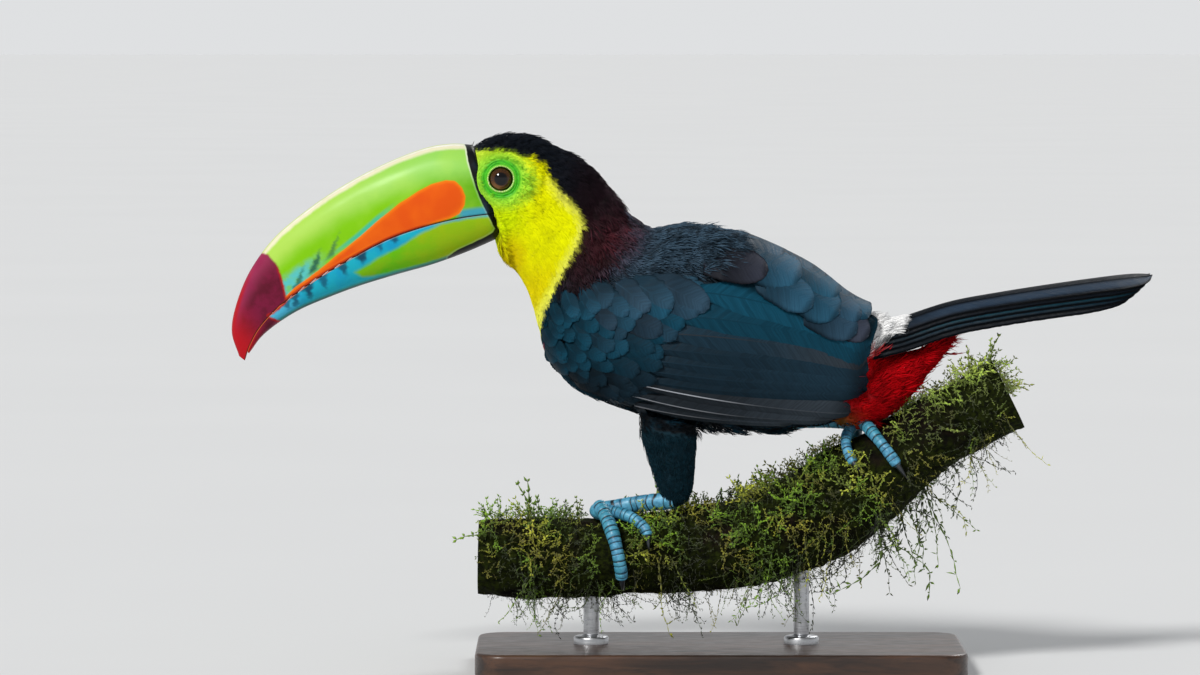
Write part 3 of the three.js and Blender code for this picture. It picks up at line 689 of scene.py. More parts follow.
def edges_of(mesh):
    e = np.zeros(len(mesh.edges) * 2, np.int32)
    mesh.edges.foreach_get("vertices", e)
    return e.reshape(-1, 2)


def eye_folds(x, z):
    """The uneven rings of folds round the eye, -1 in a crease to 1 on a fold."""
    r, turn = from_eye(x, z), np.arctan2(z - EYE["z"], x - EYE["x"])
    uneven = 0.3 * np.sin(2 * turn + 0.6) + 0.16 * np.sin(5 * turn + r) \
        + 0.07 * np.sin(11 * turn - 2 * r)
    fine = 0.35 * np.sin(17 * turn + 3 * np.sin(3 * turn)) * step(7.6, 9.0, r)
    return (np.cos(TAU * (r - 8.0 + uneven) / 1.3) + fine) * step(7.2, 7.8, r) * step(11.6, 8.8, r)


def eye_relief(x, z):
    """How far the bare skin stands out near the eye."""
    r = from_eye(x, z)
    lid = 0.75 * np.exp(-((r - 6.75) / 0.55) ** 2)
    return lid + 0.17 * eye_folds(x, z) + 0.35 * step(9.5, 7.0, r)


def set_round_eye(x, y, z, r):
    """Brings the skin flat against the eyeball, and behind it inside the lids."""
    ball = EYE["y"] + np.sqrt(np.maximum(EYE["radius"] ** 2 - r**2, 0))
    flat = EYE_FLAT + 0.05 * (x - EYE["x"]) - 0.02 * np.abs(z - EYE["z"]) + eye_relief(x, z)
    out = mix(flat, np.abs(y), step(9.5, 13.5, r))
    out = np.where(r < LID_EDGE, mix(np.minimum(out, ball - 0.9), out,
                                     step(LID_EDGE - 0.45, LID_EDGE, r)), out)
    return np.sign(y) * out


def skin():
    """One closed skin under the plumage, with bare folded skin round the eyes."""
    made = mesh_object("skin", *inner_form())
    with edited(made.data) as whole:
        for extra in ("thigh_left", "thigh_right", "undertail_coverts"):
            part = joined_copy(extra)
            whole.from_mesh(part)
            bpy.data.meshes.remove(part)
    remesh = made.modifiers.new("one_skin", "REMESH")
    remesh.mode, remesh.voxel_size = "VOXEL", SKIN_GRAIN * MM
    apply_modifiers(made)
    keep_outer_shell(made.data)
    fine_round_eyes(made.data)
    mesh = made.data
    p, edges = points_of(mesh), edges_of(mesh)
    for _ in range(SKIN_SMOOTHING):
        p = mix(p, neighbours_mean(p, edges), 0.5)
    t, level = station_of(p[:, 0], p[:, 2])
    move_points(mesh, p)
    n = normals_of(mesh)
    x, y, z = p.T
    over_wing = step(2, -2, outline_distance(x, z, WING_OUTLINE)) * (np.abs(y) > 4)
    depth = mix(FACE_DEPTH, COAT_DEPTH, step(2.0, 4.5, t))
    under_flight = step(-45, -22, x - 0.55 * (z - 160)) * step(228, 216, z)
    depth = mix(depth, mix(SHOULDER_DEPTH, WING_DEPTH, under_flight), over_wing)
    nape = step(0.42, 0.2, level) * step(3.4, 4.6, t) * step(8.4, 7.4, t)
    at_mantle = step(2, -2, outline_distance(x, z, MANTLE_EDGE)) * step(-60, -30, x)
    depth = mix(depth, MANTLE_DEPTH, at_mantle)
    depth = depth - 1.5 * nape - 1.3 * step(12.9, 13.4, t) * (level < 0.9)
    r = from_eye(x, z)
    at_eye = (np.abs(y) > EYE_SIDE) & (r < BARE_REACH)
    depth = np.where(at_eye, depth * step(10, BARE_REACH, r), depth)
    p = p - n * depth[:, None]
    x, y, z = p[at_eye].T
    p[at_eye, 1] = set_round_eye(x, y, z, from_eye(x, z))
    move_points(mesh, p)
    return made


def keep_outer_shell(mesh):
    """Drops any small closed bubble that the remesh left inside."""
    with edited(mesh) as whole:
        left, shells = set(whole.verts), []
        while left:
            front = [left.pop()]
            shell = set(front)
            while front:
                near = {v for edge in front.pop().link_edges for v in edge.verts} & left
                left -= near
                shell |= near
                front.extend(near)
            shells.append(shell)
        biggest = max(shells, key=len)
        bmesh.ops.delete(whole, geom=[v for s in shells if s is not biggest for v in s],
                         context="VERTS")


def fine_round_eyes(mesh):
    """Splits the faces near the eyes until they can hold the folds of the bare skin."""
    with edited(mesh) as whole:
        for reach in (14.5, 12.8):
            close = [e for e in whole.edges if all(
                math.hypot(v.co.x / MM - EYE["x"], v.co.z / MM - EYE["z"]) < reach
                and abs(v.co.y) > EYE_SIDE * MM for v in e.verts)]
            bmesh.ops.subdivide_edges(whole, edges=close, cuts=1, use_grid_fill=True)
        bmesh.ops.triangulate(whole, faces=[f for f in whole.faces if len(f.verts) > 4])


# Where the hair-like mantle has its roots. Its tips reach over the wing's upper edge.
MANTLE_EDGE = [(-92, 204), (-86, 192), (-76, 191), (-62, 195), (-48, 199), (-33, 204), (-9, 203),
               (7, 208), (12, 219), (12, 232), (6, 240), (-50, 262), (-92, 225)]

# Regions of the skin, by the plumage that covers them.
FACE, BIB_DOWN, CROWN_DOWN, MANTLE_DOWN, BREAST_DOWN, BELLY_DOWN, RUMP, UNDERTAIL, THIGHS, WING, \
    WISPS, BARE = range(12)


RUMP_START = 13.22


def plumage_regions(p, n, t, level, edge, thighs, undertail):
    """Which plumage covers each point of the skin, and where the skin meets the bill's root."""
    x, y, z = p.T
    front = (n @ np.array([-0.96, 0, -0.28]) > np.where(level < 0.1, 0.8, 0.92)) & (t < 0.3)
    on_wing = (outline_distance(x, z, WING_OUTLINE) < -1.0) & (np.abs(y) > 5) & ~thighs & (t < 14)
    on_wing |= (outline_distance(x, z, SHOULDER) < 0) & (np.abs(y) > 13)
    mantle = (outline_distance(x, z, MANTLE_EDGE) < 0) & (edge > 1) & (t > 5.6)
    rump_side = (z < 158.5 + 1.06 * (x - 75.9)) & (np.abs(y) > 6) | (t > BODY_END - 0.12)
    region = np.full(len(p), BREAST_DOWN)
    # Each rule goes over those before it.
    for kind, there in (
            (MANTLE_DOWN, (level < 0.5) & (t > 6.3)),
            (BARE, (level < 0.5) & (t > 12.3)),
            (BELLY_DOWN, (level > 0.8) & (t > 8.5)),
            (CROWN_DOWN, (t < 6.3) & (edge > 0)),
            (BIB_DOWN, edge <= 0),
            (FACE, (edge <= 0) & (t < 2.6) & (level < 0.8)),
            (WISPS, (level > 0.9) & (np.abs(x + 2) < 11) & (z < 131) & (np.abs(y) < 24)),
            (RUMP, (t > RUMP_START) & ~undertail),
            (BARE, (t > RUMP_START) & ~undertail & rump_side),
            (BARE, (level < 0.5) & (t > 8.6) & (t < 13) & ~mantle),
            (WING, on_wing & ~mantle),
            (MANTLE_DOWN, mantle),
            (UNDERTAIL, undertail),
            (THIGHS, thighs),
            (BARE, (from_eye(x, z) < 10.4) & (np.abs(y) > EYE_SIDE)),
            (BARE, front)):
        region[there] = kind
    return region, front


def skin_numbers(mesh):
    """The plumage's colour, lie and length all over the skin, and the regions of its points."""
    p, n = points_of(mesh), normals_of(mesh)
    x, y, z = p.T
    t, level = station_of(x, z)
    after, before = (curve(BODY, np.clip(t + reach, 0, BODY_END)) for reach in (0.15, -0.15))
    along = after - before
    share = np.clip(level, 0, 1)[:, None]
    lie = np.insert(along[:, 0:2] * (1 - share) + along[:, 2:4] * share, 1, 0, 1)
    colour = plumage_colour(p, t, level)
    # Legs and undertail stand outside the body's own outline.
    below = (level > 1.035) | ((t > 12.9) & (level > 1.0))
    left_thigh = (x < 6) & (y < -2) & (z < 134) & ((level > 1.03) | (z < 122))
    right_thigh = (x > 2) & (x < 52) & (y > 4) & (z < 131) & ((level > 1.03) | (z < 121.5))
    undertail = (x > 57) & (z < 167) & (below | (z < 150) | (x > 88)) & (z < 160 + 0.2 * (x - 66))
    thighs = (left_thigh | right_thigh) & ~undertail
    lie[left_thigh] = [0.12, 0.1, -1]
    lie[right_thigh] = [0.8, -0.1, -0.35]
    lie[undertail] = [1, 0, 0.42]
    colour[thighs] = THIGH * (1 + 0.12 * wobble(p[thighs], 8, 9)[:, None])
    red = shade(np.tile(RED, (undertail.sum(), 1)), RED_DEEP,
                np.clip(0.35 + 0.4 * wobble(p[undertail], 9, 11), 0, 1))
    low = step(74, 62, x[undertail]) * step(136, 126, z[undertail])
    colour[undertail] = shade(red, ORANGE_BROWN, 0.8 * low)
    lie = lie + 0.12 * np.linalg.norm(lie, axis=1, keepdims=True) * np.stack(
        [wobble(p, 14, seed) for seed in (21, 22, 23)], 1)
    lie = lie_flat(lie, n)
    edge = outline_distance(x, z, BIB) + FRINGE * step(262, 250, z)
    undertail |= (t > RUMP_START) & (z < 160.5)
    region, front = plumage_regions(p, n, t, level, edge, thighs, undertail)
    r = from_eye(x, z)
    length = 1 + 0.12 * wobble(p, 12, 31)
    length = np.where(undertail, length * mix(0.4, 1.0, step(64, 84, x)), length)
    near_eye = step(10, 17, r) * step(-124, -114, x + 0.1 * (z - 240))
    length = np.where(region == CROWN_DOWN, length * mix(0.45, 1.0, step(0.2, 1.3, t)), length)
    length = np.where(np.abs(edge) < 2.5, length * 0.7, length)
    length = np.where(region == FACE, length * mix(0.55, 1.0, near_eye), length)
    bare = np.where(np.abs(y) > EYE_SIDE, step(11.8, 9.0, r), 0)
    # The bare skin is deeper green in the creases of its folds, a painted shade, and at random.
    green = shade(np.tile(EYE_GREEN, (len(p), 1)), EYE_GREEN_DEEP,
                  np.clip(0.3 - 0.5 * eye_folds(x, z) + 0.25 * wobble(p, 5, 92), 0, 1) * 0.7)
    green = shade(green, LID_GREEN, step(7.5, 6.9, r) * 0.8)
    green = shade(green, CROWN * 0.3, step(6.3, 6.0, r))
    shaded_under_wing = np.isin(region, (WING, BARE)) * (1 - bare) * (t > 6) * (t < 13.2)
    # The front skin at the lower bill's root is dark: partly the bill's black basal band carried
    # on, partly painted shade in the gap there.
    skin_colour = shade(shade(colour, green, bare), CROWN * 0.5, front & (level > 0.97))
    # Painted shade: the skin under the wings and on the bare back is darkened, so it shows dark
    # between feathers.
    skin_colour = shade(skin_colour, MANTLE * 0.35, shaded_under_wing)
    root_map = unwrap(p, t, level, thighs, undertail)
    for name, values in (("colour", skin_colour), ("lie", lie), ("length", length),
                         ("bare", bare), ("root", np.insert(root_map, 2, 0, 1))):
        give(mesh, "coat_" + name, values)
    return p, region, root_map


def unwrap(p, t, level, thighs, undertail):
    """Places on a flat unwrap of the skin: along the body, and round it from the back."""
    x, y, z = p.T
    round_body = np.arccos(np.clip(1 - 2 * np.clip(level, 0, 1), -1, 1)) / math.pi
    u = 0.02 + 0.7 * (t / BODY_END)
    v = 0.5 + 0.47 * np.sign(y) * round_body
    leg_u = 0.76 + 0.1 * (np.arctan2(y - np.sign(y) * 16, x + 26) / TAU + 0.5)
    leg_v = np.where(y < 0, 0.03, 0.53) + 0.42 * np.clip((z - 80) / 70, 0, 1)
    tail_u = 0.88 + 0.1 * np.clip((x - 55) / 65, 0, 1)
    tail_v = 0.5 + 0.45 * np.arctan2(y, 165 - z) / math.pi
    u = np.where(thighs, leg_u, np.where(undertail, tail_u, u))
    v = np.where(thighs, leg_v, np.where(undertail, tail_v, v))
    return np.stack([u, v], 1)


def skin_finish():
    f = Finish("skin_under_plumage", Specular_IOR_Level=0.2)
    colour = f.read("coat_colour", "Color")
    fibre = f.noise(900, 4, 0.6)
    mottled = f.blend(f.band(fibre, 0.3, 0.75, 0.0, 0.12), colour, (0, 0, 0), "MULTIPLY")
    bare = f.read("coat_bare")
    grain = f.noise(1500, 2, 0.5)
    worn = f.blend(f.band(grain, 0.4, 0.7, 0, 0.25), colour, (1, 1, 0.7), "OVERLAY")
    normal = f.bump(fibre, 0.35, 0.7)
    return f.done(f.blend(bare, mottled, worn), f.band(bare, 0, 1, 0.75, 0.38), normal)


# ---- plumage

LOCK_FACES = np.array([(0, 2, 1, -1), (0, 3, 2, -1), (0, 1, 3, -1), (1, 2, 5, 4), (2, 3, 6, 5),
                       (3, 1, 4, 6), (4, 5, 7, -1), (5, 6, 7, -1), (6, 4, 7, -1)])


def lock(name, strands, width, fan, arch, seed, ragged=0.3, kick=0.0, ridge=0.42):
    """A tuft one unit long: pointed strands side by side that lie along +X and rise a little."""
    rng = np.random.default_rng(seed)
    shells = Shells()
    middle = ((0.34, 0.5), (0.68, 0.42))  # how far along each ring is, and its share of the width
    lie = [(0, 0.5, 0), *((s, c, 0) for s, _ in middle for c in (0, 1, 0.5)), (1, 0.5, 0)]
    for place in (np.arange(strands) + 0.5) / strands - 0.5:
        reach = 1 - ragged * rng.random() - 0.25 * (2 * place) ** 2
        yaw = fan * 2 * place + rng.normal() * 0.07
        start = np.array([0.12 * rng.random(), place * width * strands * 0.55, 0.0])
        rise = arch * rng.uniform(0.7, 1.2)
        turn = rng.uniform(-0.5, 0.5)
        corners = [start + np.array([0, 0, -0.05])]
        for s, w in middle:
            bend = yaw * (1 + kick * s)
            mid = start + reach * s * np.array([math.cos(bend), math.sin(bend), 0])
            mid[2] = rise * math.sin(math.pi * s * 0.93) * 0.7
            across = np.array([-math.sin(bend), math.cos(bend), turn * 0.4])
            corners += [mid - across * w * width, mid + across * w * width,
                        mid + np.array([0, 0, width * ridge])]
        tip = start + reach * np.array([math.cos(yaw * (1 + kick)), math.sin(yaw * (1 + kick)), 0])
        tip[2] = rise * 0.1
        corners = np.array([*corners, tip])
        shells.add(corners / MM, facing_out(corners, LOCK_FACES), lie=lie)
    return shells.pattern(name)


def scale_feather(name, width, seed):
    """A small rounded feather one unit long, thin at its edges, with a raised shaft."""
    rng = np.random.default_rng(seed)
    droop, frayed = 0.05, 0.08
    rows = np.array([0.0, 0.2, 0.45, 0.68, 0.86, 0.96, 1.0])
    full = np.array([0.1, 0.55, 0.92, 1.0, 0.82, 0.5, 0.16])
    columns = np.array([-1, -0.55, -0.06, 0.06, 0.55, 1.0])
    s, c = np.meshgrid(rows, columns, indexing="ij")
    half = (width / 2 * full)[:, None] * (1 + frayed * rng.normal(size=s.shape) * (np.abs(c) > 0.9))
    x = s + 0.05 * rng.normal(size=s.shape) * (s > 0.9) * frayed * 5
    z = 0.11 * width * (1 - c**2) + droop * np.sin(math.pi * s) - 0.02 * s
    top = np.stack([x, c * half, z], -1)
    under = top - np.array([0, 0, 0.035 * width])
    top[..., 2] += (np.abs(c) < 0.1) * 0.03 * width
    points, faces = sheet_shell(top, under)
    share = np.stack([s.ravel(), (c.ravel() + 1) / 2], 1) * 0.96 + 0.02
    shells = Shells()
    shells.add(points / MM, faces, lie=np.concatenate([
        np.insert(share, 2, is_top, 1) for is_top in (1, 0)]))
    return shells.pattern(name)


def grouped(name, count, maker):
    """A few makings of a pattern for a tree to choose from."""
    patterns = [maker(f"{name}_{i}", i) for i in range(count)]
    group = bpy.data.collections.new(name + "s")
    for made in patterns:
        group.objects.link(made)
    return group


class Tree(Nodes):
    """A Geometry Nodes tree with named inputs."""

    def __init__(self, name, inputs):
        super().__init__(bpy.data.node_groups.new(name, "GeometryNodeTree"))
        face = self.tree.interface
        face.new_socket("Geometry", in_out="INPUT", socket_type="NodeSocketGeometry")
        self.keys = {}
        for key, kind in inputs.items():
            made = face.new_socket(key, in_out="INPUT", socket_type="NodeSocket" + kind)
            self.keys[key] = made.identifier
        face.new_socket("Geometry", in_out="OUTPUT", socket_type="NodeSocketGeometry")
        self.given = self.tree.nodes.new("NodeGroupInput").outputs
        self.result = self.tree.nodes.new("NodeGroupOutput").inputs[0]

    def named(self, name, kind="FLOAT_VECTOR"):
        return self.node("GeometryNodeInputNamedAttribute", {"Name": name},
                         data_type=kind).outputs["Attribute"]

    def random(self, low, high, draw):
        """A number between low and high for each tuft. draw keeps its draws apart from others."""
        return self.node("FunctionNodeRandomValue", {
            "Seed": self.plus(self.given["Seed"], draw), 2: low, 3: high},
            data_type="FLOAT").outputs[1]


PATCH = 0.003  # a tuft's own patch on the unwrap of the skin


def coat_tree():
    """Tufts that stand on a surface, lie along it, and carry its colour and place."""
    t = Tree("plumage", {"Spacing": "Float", "Length": "Float", "Lift": "Float", "Sway": "Float",
                         "Seed": "Int", "Tufts": "Collection", "Finish": "Material"})
    g = t.given
    spots = t.node("GeometryNodeDistributePointsOnFaces", {
        "Mesh": g["Geometry"], "Distance Min": g["Spacing"], "Density Max": 2.0e6,
        "Seed": g["Seed"]}, distribute_method="POISSON")
    upright = t.node("FunctionNodeAlignRotationToVector", {
        "Vector": spots.outputs["Normal"]}, axis="Z")
    laid = t.node("FunctionNodeAlignRotationToVector", {
        "Rotation": upright.outputs[0], "Vector": t.named("coat_lie")}, axis="X", pivot_axis="Z")
    lift = t.random(t.times(g["Lift"], -0.35), t.times(g["Lift"], -1.5), 11)
    sway = t.random(t.times(g["Sway"], -1.0), g["Sway"], 12)
    tilt = t.node("ShaderNodeCombineXYZ", {"Y": lift, "Z": sway})
    turned = t.node("FunctionNodeRotateRotation", {
        "Rotation": laid.outputs[0], "Rotate By": t.node(
            "FunctionNodeEulerToRotation", {"Euler": tilt.outputs[0]}).outputs[0]},
        rotation_space="LOCAL")
    size = t.times(t.times(g["Length"], t.named("coat_length", "FLOAT")), t.random(0.8, 1.2, 13))
    kinds = t.node("GeometryNodeCollectionInfo", {"Collection": g["Tufts"],
                                                 "Separate Children": True, "Reset Children": True})
    toned = t.node("GeometryNodeStoreNamedAttribute", {
        "Geometry": spots.outputs["Points"], "Name": "tone",
        "Value": t.random(0.0, 1.0, 14)},
        data_type="FLOAT", domain="POINT")
    stood = t.node("GeometryNodeInstanceOnPoints", {
        "Points": toned.outputs[0], "Instance": kinds.outputs[0], "Pick Instance": True,
        "Rotation": turned.outputs[0], "Scale": size})
    real = t.node("GeometryNodeRealizeInstances", {"Geometry": stood.outputs[0]})
    patch = t.vector_math("MULTIPLY", t.vector_math("SUBTRACT", t.named("lie"), (0.5, 0.5, 0.5)),
                          (PATCH, PATCH, 0))
    at = t.vector_math("ADD", t.named("coat_root"), patch)
    mapped = t.node("GeometryNodeStoreNamedAttribute", {
        "Geometry": real.outputs[0], "Name": "OFBake", "Value": at},
        data_type="FLOAT2", domain="CORNER")
    painted = t.node("GeometryNodeSetMaterial", {
        "Geometry": mapped.outputs[0], "Material": g["Finish"]})
    t.tree.links.new(painted.outputs[0], t.result)
    return t


def part_of(mesh, keep_faces, name):
    """A copy of some of a mesh's faces, with their points' numbers."""
    part = bpy.data.meshes.new(name)
    with edited(part, mesh) as whole:
        bmesh.ops.delete(whole, geom=[f for f, k in zip(whole.faces, keep_faces) if not k],
                         context="FACES")
    made = bpy.data.objects.new(name, part)
    bpy.context.scene.collection.objects.link(made)
    return made


def first_corners(mesh):
    """The number of one point of each face."""
    return np.array([mesh.loops[f.loop_start].vertex_index for f in mesh.polygons])


def lie_flat(way, normal):
    """Directions turned into the surface."""
    return unit(way - normal * (way * normal).sum(1, keepdims=True))


def grow(made, tree, material, group, slot, **sizes):
    """Runs a tree on an object and leaves its result as the object's plain mesh."""
    maker = made.modifiers.new("growth", "NODES")
    maker.node_group = tree.tree
    for key, value in sizes.items():
        maker[tree.keys[key]] = value
    maker[tree.keys["Tufts"]] = group
    maker[tree.keys["Finish"]] = material
    apply_modifiers(made)
    for name in ("coat_lie", "coat_length", "coat_root", "coat_bare"):
        spare = made.data.attributes.get(name)
        if spare:
            made.data.attributes.remove(spare)
    made.data.shade_smooth()
    return finished(made)


def down_finish(name, shine, gloss, dark_root, tones=(0.8, 1.22)):
    """Soft tufts, darker towards their roots. tones is the spread between one and another."""
    f = Finish(name, Sheen_Weight=0.0, Sheen_Roughness=0.4, Specular_IOR_Level=gloss)
    along = f.split(f.read("lie", "Vector"))[0]
    lit = f.times(f.band(along, 0.0, 0.75, dark_root, 1.0), f.band(f.read("tone"), 0, 1, *tones))
    colour = f.lit(f.read("coat_colour", "Color"), lit)
    fibre = f.noise(1800, 2, 0.5)
    return f.done(colour, f.band(fibre, 0.3, 0.7, shine - 0.1, shine + 0.12),
                  f.bump(fibre, 0.08, 0.5))


def covert_finish():
    """Small wing feathers: soft barbs either side of a shaft, darker at the root, painted shade at
    the rim.
    """
    f = Finish("wing_covert_feathers", Specular_IOR_Level=0.12)
    along, across, _ = f.split(f.read("lie", "Vector"))[:3]
    off = f.math("ABSOLUTE", f.math("SUBTRACT", across, 0.5))
    sweep = f.plus(along, f.times(off, 0.9))
    barbs = f.math("SINE", f.times(sweep, 150.0))
    tone = f.read("tone")
    base = f.read("coat_colour", "Color")
    rim = f.math("MAXIMUM", f.band(along, 0.78, 1.0), f.band(off, 0.3, 0.5))
    lit = f.times(f.band(along, 0, 0.6, 0.35, 1.0), f.band(tone, 0, 1, 0.85, 1.15))
    lit = f.plus(lit, f.times(barbs, 0.05))
    body = f.lit(base, lit)
    # Painted shade: the rim darkens towards deep teal, for the shadow lines between overlapping
    # feathers.
    colour = f.blend(f.times(rim, 0.3), body, tuple(TEAL_DEEP * 0.6))
    return f.done(colour, f.band(tone, 0, 1, 0.42, 0.6), f.bump(barbs, 0.05, 0.5))


def plumage(skin_made, region):
    tree = coat_tree()
    short = grouped("short_lock", 4, lambda name, i: lock(name, 6, 0.06, 0.24, 0.09, 40 + i))
    smooth = grouped("smooth_lock", 4, lambda name, i: lock(
        name, 6, 0.07, 0.2, 0.05, 45 + i, 0.2, 0.0, 0.16))
    long = grouped("long_lock", 4, lambda name, i: lock(
        name, 6, 0.042, 0.2, 0.1, 50 + i, 0.45, 0.6))
    fluffy = grouped("fluffy_lock", 4, lambda name, i: lock(
        name, 7, 0.05, 0.42, 0.16, 60 + i, 0.4, 0.9))
    scales = grouped("scale_feather", 4, lambda name, i: scale_feather(
        name, 0.6 + 0.05 * i, 70 + i))
    faces = region[first_corners(skin_made.data)]
    soft = down_finish("soft_plumage", 0.65, 0.08, 0.5)
    bright = down_finish("bright_plumage", 0.7, 0.05, 1.0, (0.97, 1.05))
    snow = down_finish("white_plumage", 0.7, 0.05, 1.0, (1.0, 1.06))
    hairy = down_finish("mantle_plumage", 0.5, 0.15, 0.5, (0.55, 2.0))
    sleek = down_finish("sleek_plumage", 0.5, 0.12, 0.6, (0.85, 1.15))
    coverts = covert_finish()
    # name, regions, tufts, material, slot, then spacing and length in millimetres, lift and sway
    plan = [
        ("face_down", [FACE], smooth, bright, "face_plumage", 0.9, 4.2, 0.012, 0.12),
        ("bib_down", [BIB_DOWN], smooth, bright, "face_plumage", 1.3, 6.2, 0.0, 0.12),
        ("crown_down", [CROWN_DOWN], short, soft, "neck_plumage", 1.45, 6.4, 0.16, 0.25),
        ("mantle_down", [MANTLE_DOWN], long, hairy, "body_plumage", 1.7, 11.0, 0.13, 0.3),
        ("breast_down", [BREAST_DOWN], short, sleek, "body_plumage", 1.9, 7.0, 0.07, 0.25),
        ("belly_down", [BELLY_DOWN], long, soft, "body_plumage", 2.2, 7.5, 0.04, 0.3),
        ("belly_wisps", [WISPS], fluffy, soft, "body_plumage", 3.0, 9.5, 0.4, 0.5),
        ("rump_down", [RUMP], smooth, snow, "rump_plumage", 1.3, 8.0, 0.02, 0.14),
        ("undertail_down", [UNDERTAIL], long, bright, "undertail_plumage", 1.7, 13.0, 0.1, 0.25),
        ("thigh_down", [THIGHS], short, sleek, "body_plumage", 1.5, 5.0, 0.05, 0.2),
    ]
    for seed, (name, kinds, group, material, slot, spacing, length, lift, sway) in enumerate(plan):
        made = part_of(skin_made.data, np.isin(faces, kinds), name)
        grow(made, tree, material, group, slot, Spacing=spacing * MM, Length=length * MM,
             Lift=lift, Sway=sway, Seed=seed * 7 + 3)
    return tree, faces, scales, coverts


# ---- feathers

def feather_map(index, columns, rows, share):
    """A feather's own cell in the map of its piece, with its upper side in one half of the cell
    and its under side in the other. share is (along, across), each 0 to 1."""
    row, column = divmod(index, columns)
    cell = np.array([1 / columns, 1 / rows])
    return np.concatenate([
        (np.array([column, row]) + 0.03 + 0.94 * (share * [1, 0.48] + [0, half])) * cell
        for half in (0, 0.52)])


class Vane:
    """A large feather's flat shape: points on a sheet, with its place along and across."""

    def __init__(self, root, tip, wide_upper, wide_lower, sag=0.0, rounding=0.22, blunt=0.0,
                 rows=44, columns=15, seed=0, ragged=0.03, taper=0.35):
        rng = np.random.default_rng(seed)
        root, tip = np.asarray(root, float), np.asarray(tip, float)
        self.length = np.linalg.norm(tip - root)
        s = np.linspace(0, 1, rows) ** 0.92
        shaft_half = 0.045
        c = np.concatenate([np.linspace(-1, -shaft_half, columns // 2), [0.0],
                            np.linspace(shaft_half, 1, columns // 2)])
        ahead = (tip - root) / self.length
        upward = np.array([-ahead[1], ahead[0]])
        middle = root + (tip - root) * s[:, None] + upward * (4 * sag * s * (1 - s))[:, None]
        way = unit(np.gradient(middle, axis=0))
        left = np.stack([-way[:, 1], way[:, 0]], 1)
        end = np.clip((s - (1 - rounding)) / rounding, 0, 1)
        full = (taper + (1 - taper) * step(0, 0.3, s)) \
            * np.sqrt(np.clip(1 - end**(2 + blunt), 0.0, 1))
        full = np.maximum(full, 0.03)
        nick = 1 + ragged * rng.normal(size=(rows, 2)) + 0.5 * ragged * np.sin(
            np.arange(rows)[:, None] * 1.7 + rng.uniform(0, 6, 2))
        upper = np.outer(full * wide_upper * nick[:, 0], np.clip(c, 0, None))
        lower = np.outer(full * wide_lower * nick[:, 1], np.clip(c, None, 0))
        off = upper + lower
        self.flat = middle[:, None] + left[:, None] * off[..., None] \
            + way[:, None] * (0.22 * np.abs(off) * (1 - end[:, None]))[..., None]
        self.s, self.c, self.off = s, c, off
        self.rows, self.columns = rows, len(c)

    def lies(self):
        along = np.repeat(self.s * self.length, self.columns)
        return np.stack([along, self.off.ravel(), np.repeat(self.s, self.columns)], 1)


# The lower edge of the shoulder feathers, below which the flight feathers carry a painted shadow.
SHOULDER_EDGE = [(-6, 215), (0, 203), (9, 198.5), (20.7, 193.7), (40.2, 182.4), (47, 177.5),
                 (58, 173), (66, 171.5), (76, 170), (82, 190), (30, 235)]


def add_vane(shells, vane, place, thick, camber, shaft, index, cells, colours, tilt=0.0,
             sink=0.0, shadow_under_shoulder=False):
    """place(flat, height) puts points of the sheet into space, height above the surface."""
    c, s = vane.c[None, :], vane.s[:, None]
    crest = camber * (1 - c**2) + tilt * (s - 0.5) - sink * step(0.3, 0.0, s)
    ridge = shaft * (np.abs(c) < 0.06) * np.clip(1.15 - s, 0.2, 1)
    points, faces = sheet_shell(place(vane.flat, crest + ridge), place(vane.flat, crest - thick))
    base, end, shaft_colour = colours
    share = vane.s[:, None, None] * np.ones((1, vane.columns, 1))
    colour = (base + (end - base) * step(0.35, 1.0, share)).reshape(-1, 3)
    # Painted shadow: just below the shoulder feathers' lower edge the colour is darkened to a
    # quarter.
    if shadow_under_shoulder:
        gap = outline_distance(vane.flat[..., 0], vane.flat[..., 1], SHOULDER_EDGE).ravel()
        colour = colour * mix(0.25, 1.0, step(-1.0, 2.6, gap))[:, None]
    flat_share = np.stack([np.repeat(vane.s, vane.columns),
                           np.tile((vane.c + 1) / 2, vane.rows)], 1)
    shells.add(points, faces, feather_map(index, *cells, flat_share),
               lie=np.tile(vane.lies(), (2, 1)), shaft_colour=shaft_colour,
               feather_colour=np.concatenate([colour, colour * 0.8]),
               rim=np.tile(np.maximum(np.abs(c) ** 4, step(0.8, 1.0, s)).ravel(), 2))


SHAFT_WIDTH = 0.4


def vane_finish(name, shine, gloss, streaky, rim_shade):
    """Long feathers: fine barbs that sweep back from a smooth shaft, with a few splits."""
    f = Finish(name, Specular_IOR_Level=gloss)
    along, across, share = f.split(f.read("lie", "Vector"))[:3]
    off = f.math("ABSOLUTE", across)
    sweep = f.math("SUBTRACT", along, f.times(off, 0.75))
    waver = f.noise(160, 2)
    lane = f.plus(sweep, f.times(waver, 2.5))
    barbs = f.math("SINE", f.times(lane, 8.5))
    streak_place = f.node("ShaderNodeCombineXYZ", {
        "X": f.times(lane, 0.9), "Y": f.times(off, 0.05), "Z": share}).outputs[0]
    streaks = f.noise(1.0, 3, 0.6, vector=streak_place)
    base = f.read("feather_colour", "Color")
    lit = f.plus(f.band(streaks, 0.25, 0.75, 1 - streaky, 1 + streaky),
                 f.times(barbs, 0.03))
    # Painted shade: each feather darkens towards its edges and tip, for the shadow lines between
    # overlapping feathers.
    lit = f.times(lit, f.band(f.read("rim"), 0.3, 1.0, 1.0, 1 - rim_shade))
    colour = f.lit(base, lit)
    shaft = f.band(off, SHAFT_WIDTH, SHAFT_WIDTH * 0.55)
    colour = f.blend(f.times(shaft, f.band(share, 0.62, 0.25, 0.06, 1)), colour,
                     f.read("shaft_colour", "Color"))
    relief = f.bump(barbs, 0.05, 0.6, f.bump(streaks, 0.2, 0.6))
    return f.done(colour, f.band(streaks, 0.3, 0.7, shine - 0.06, shine + 0.1), relief)


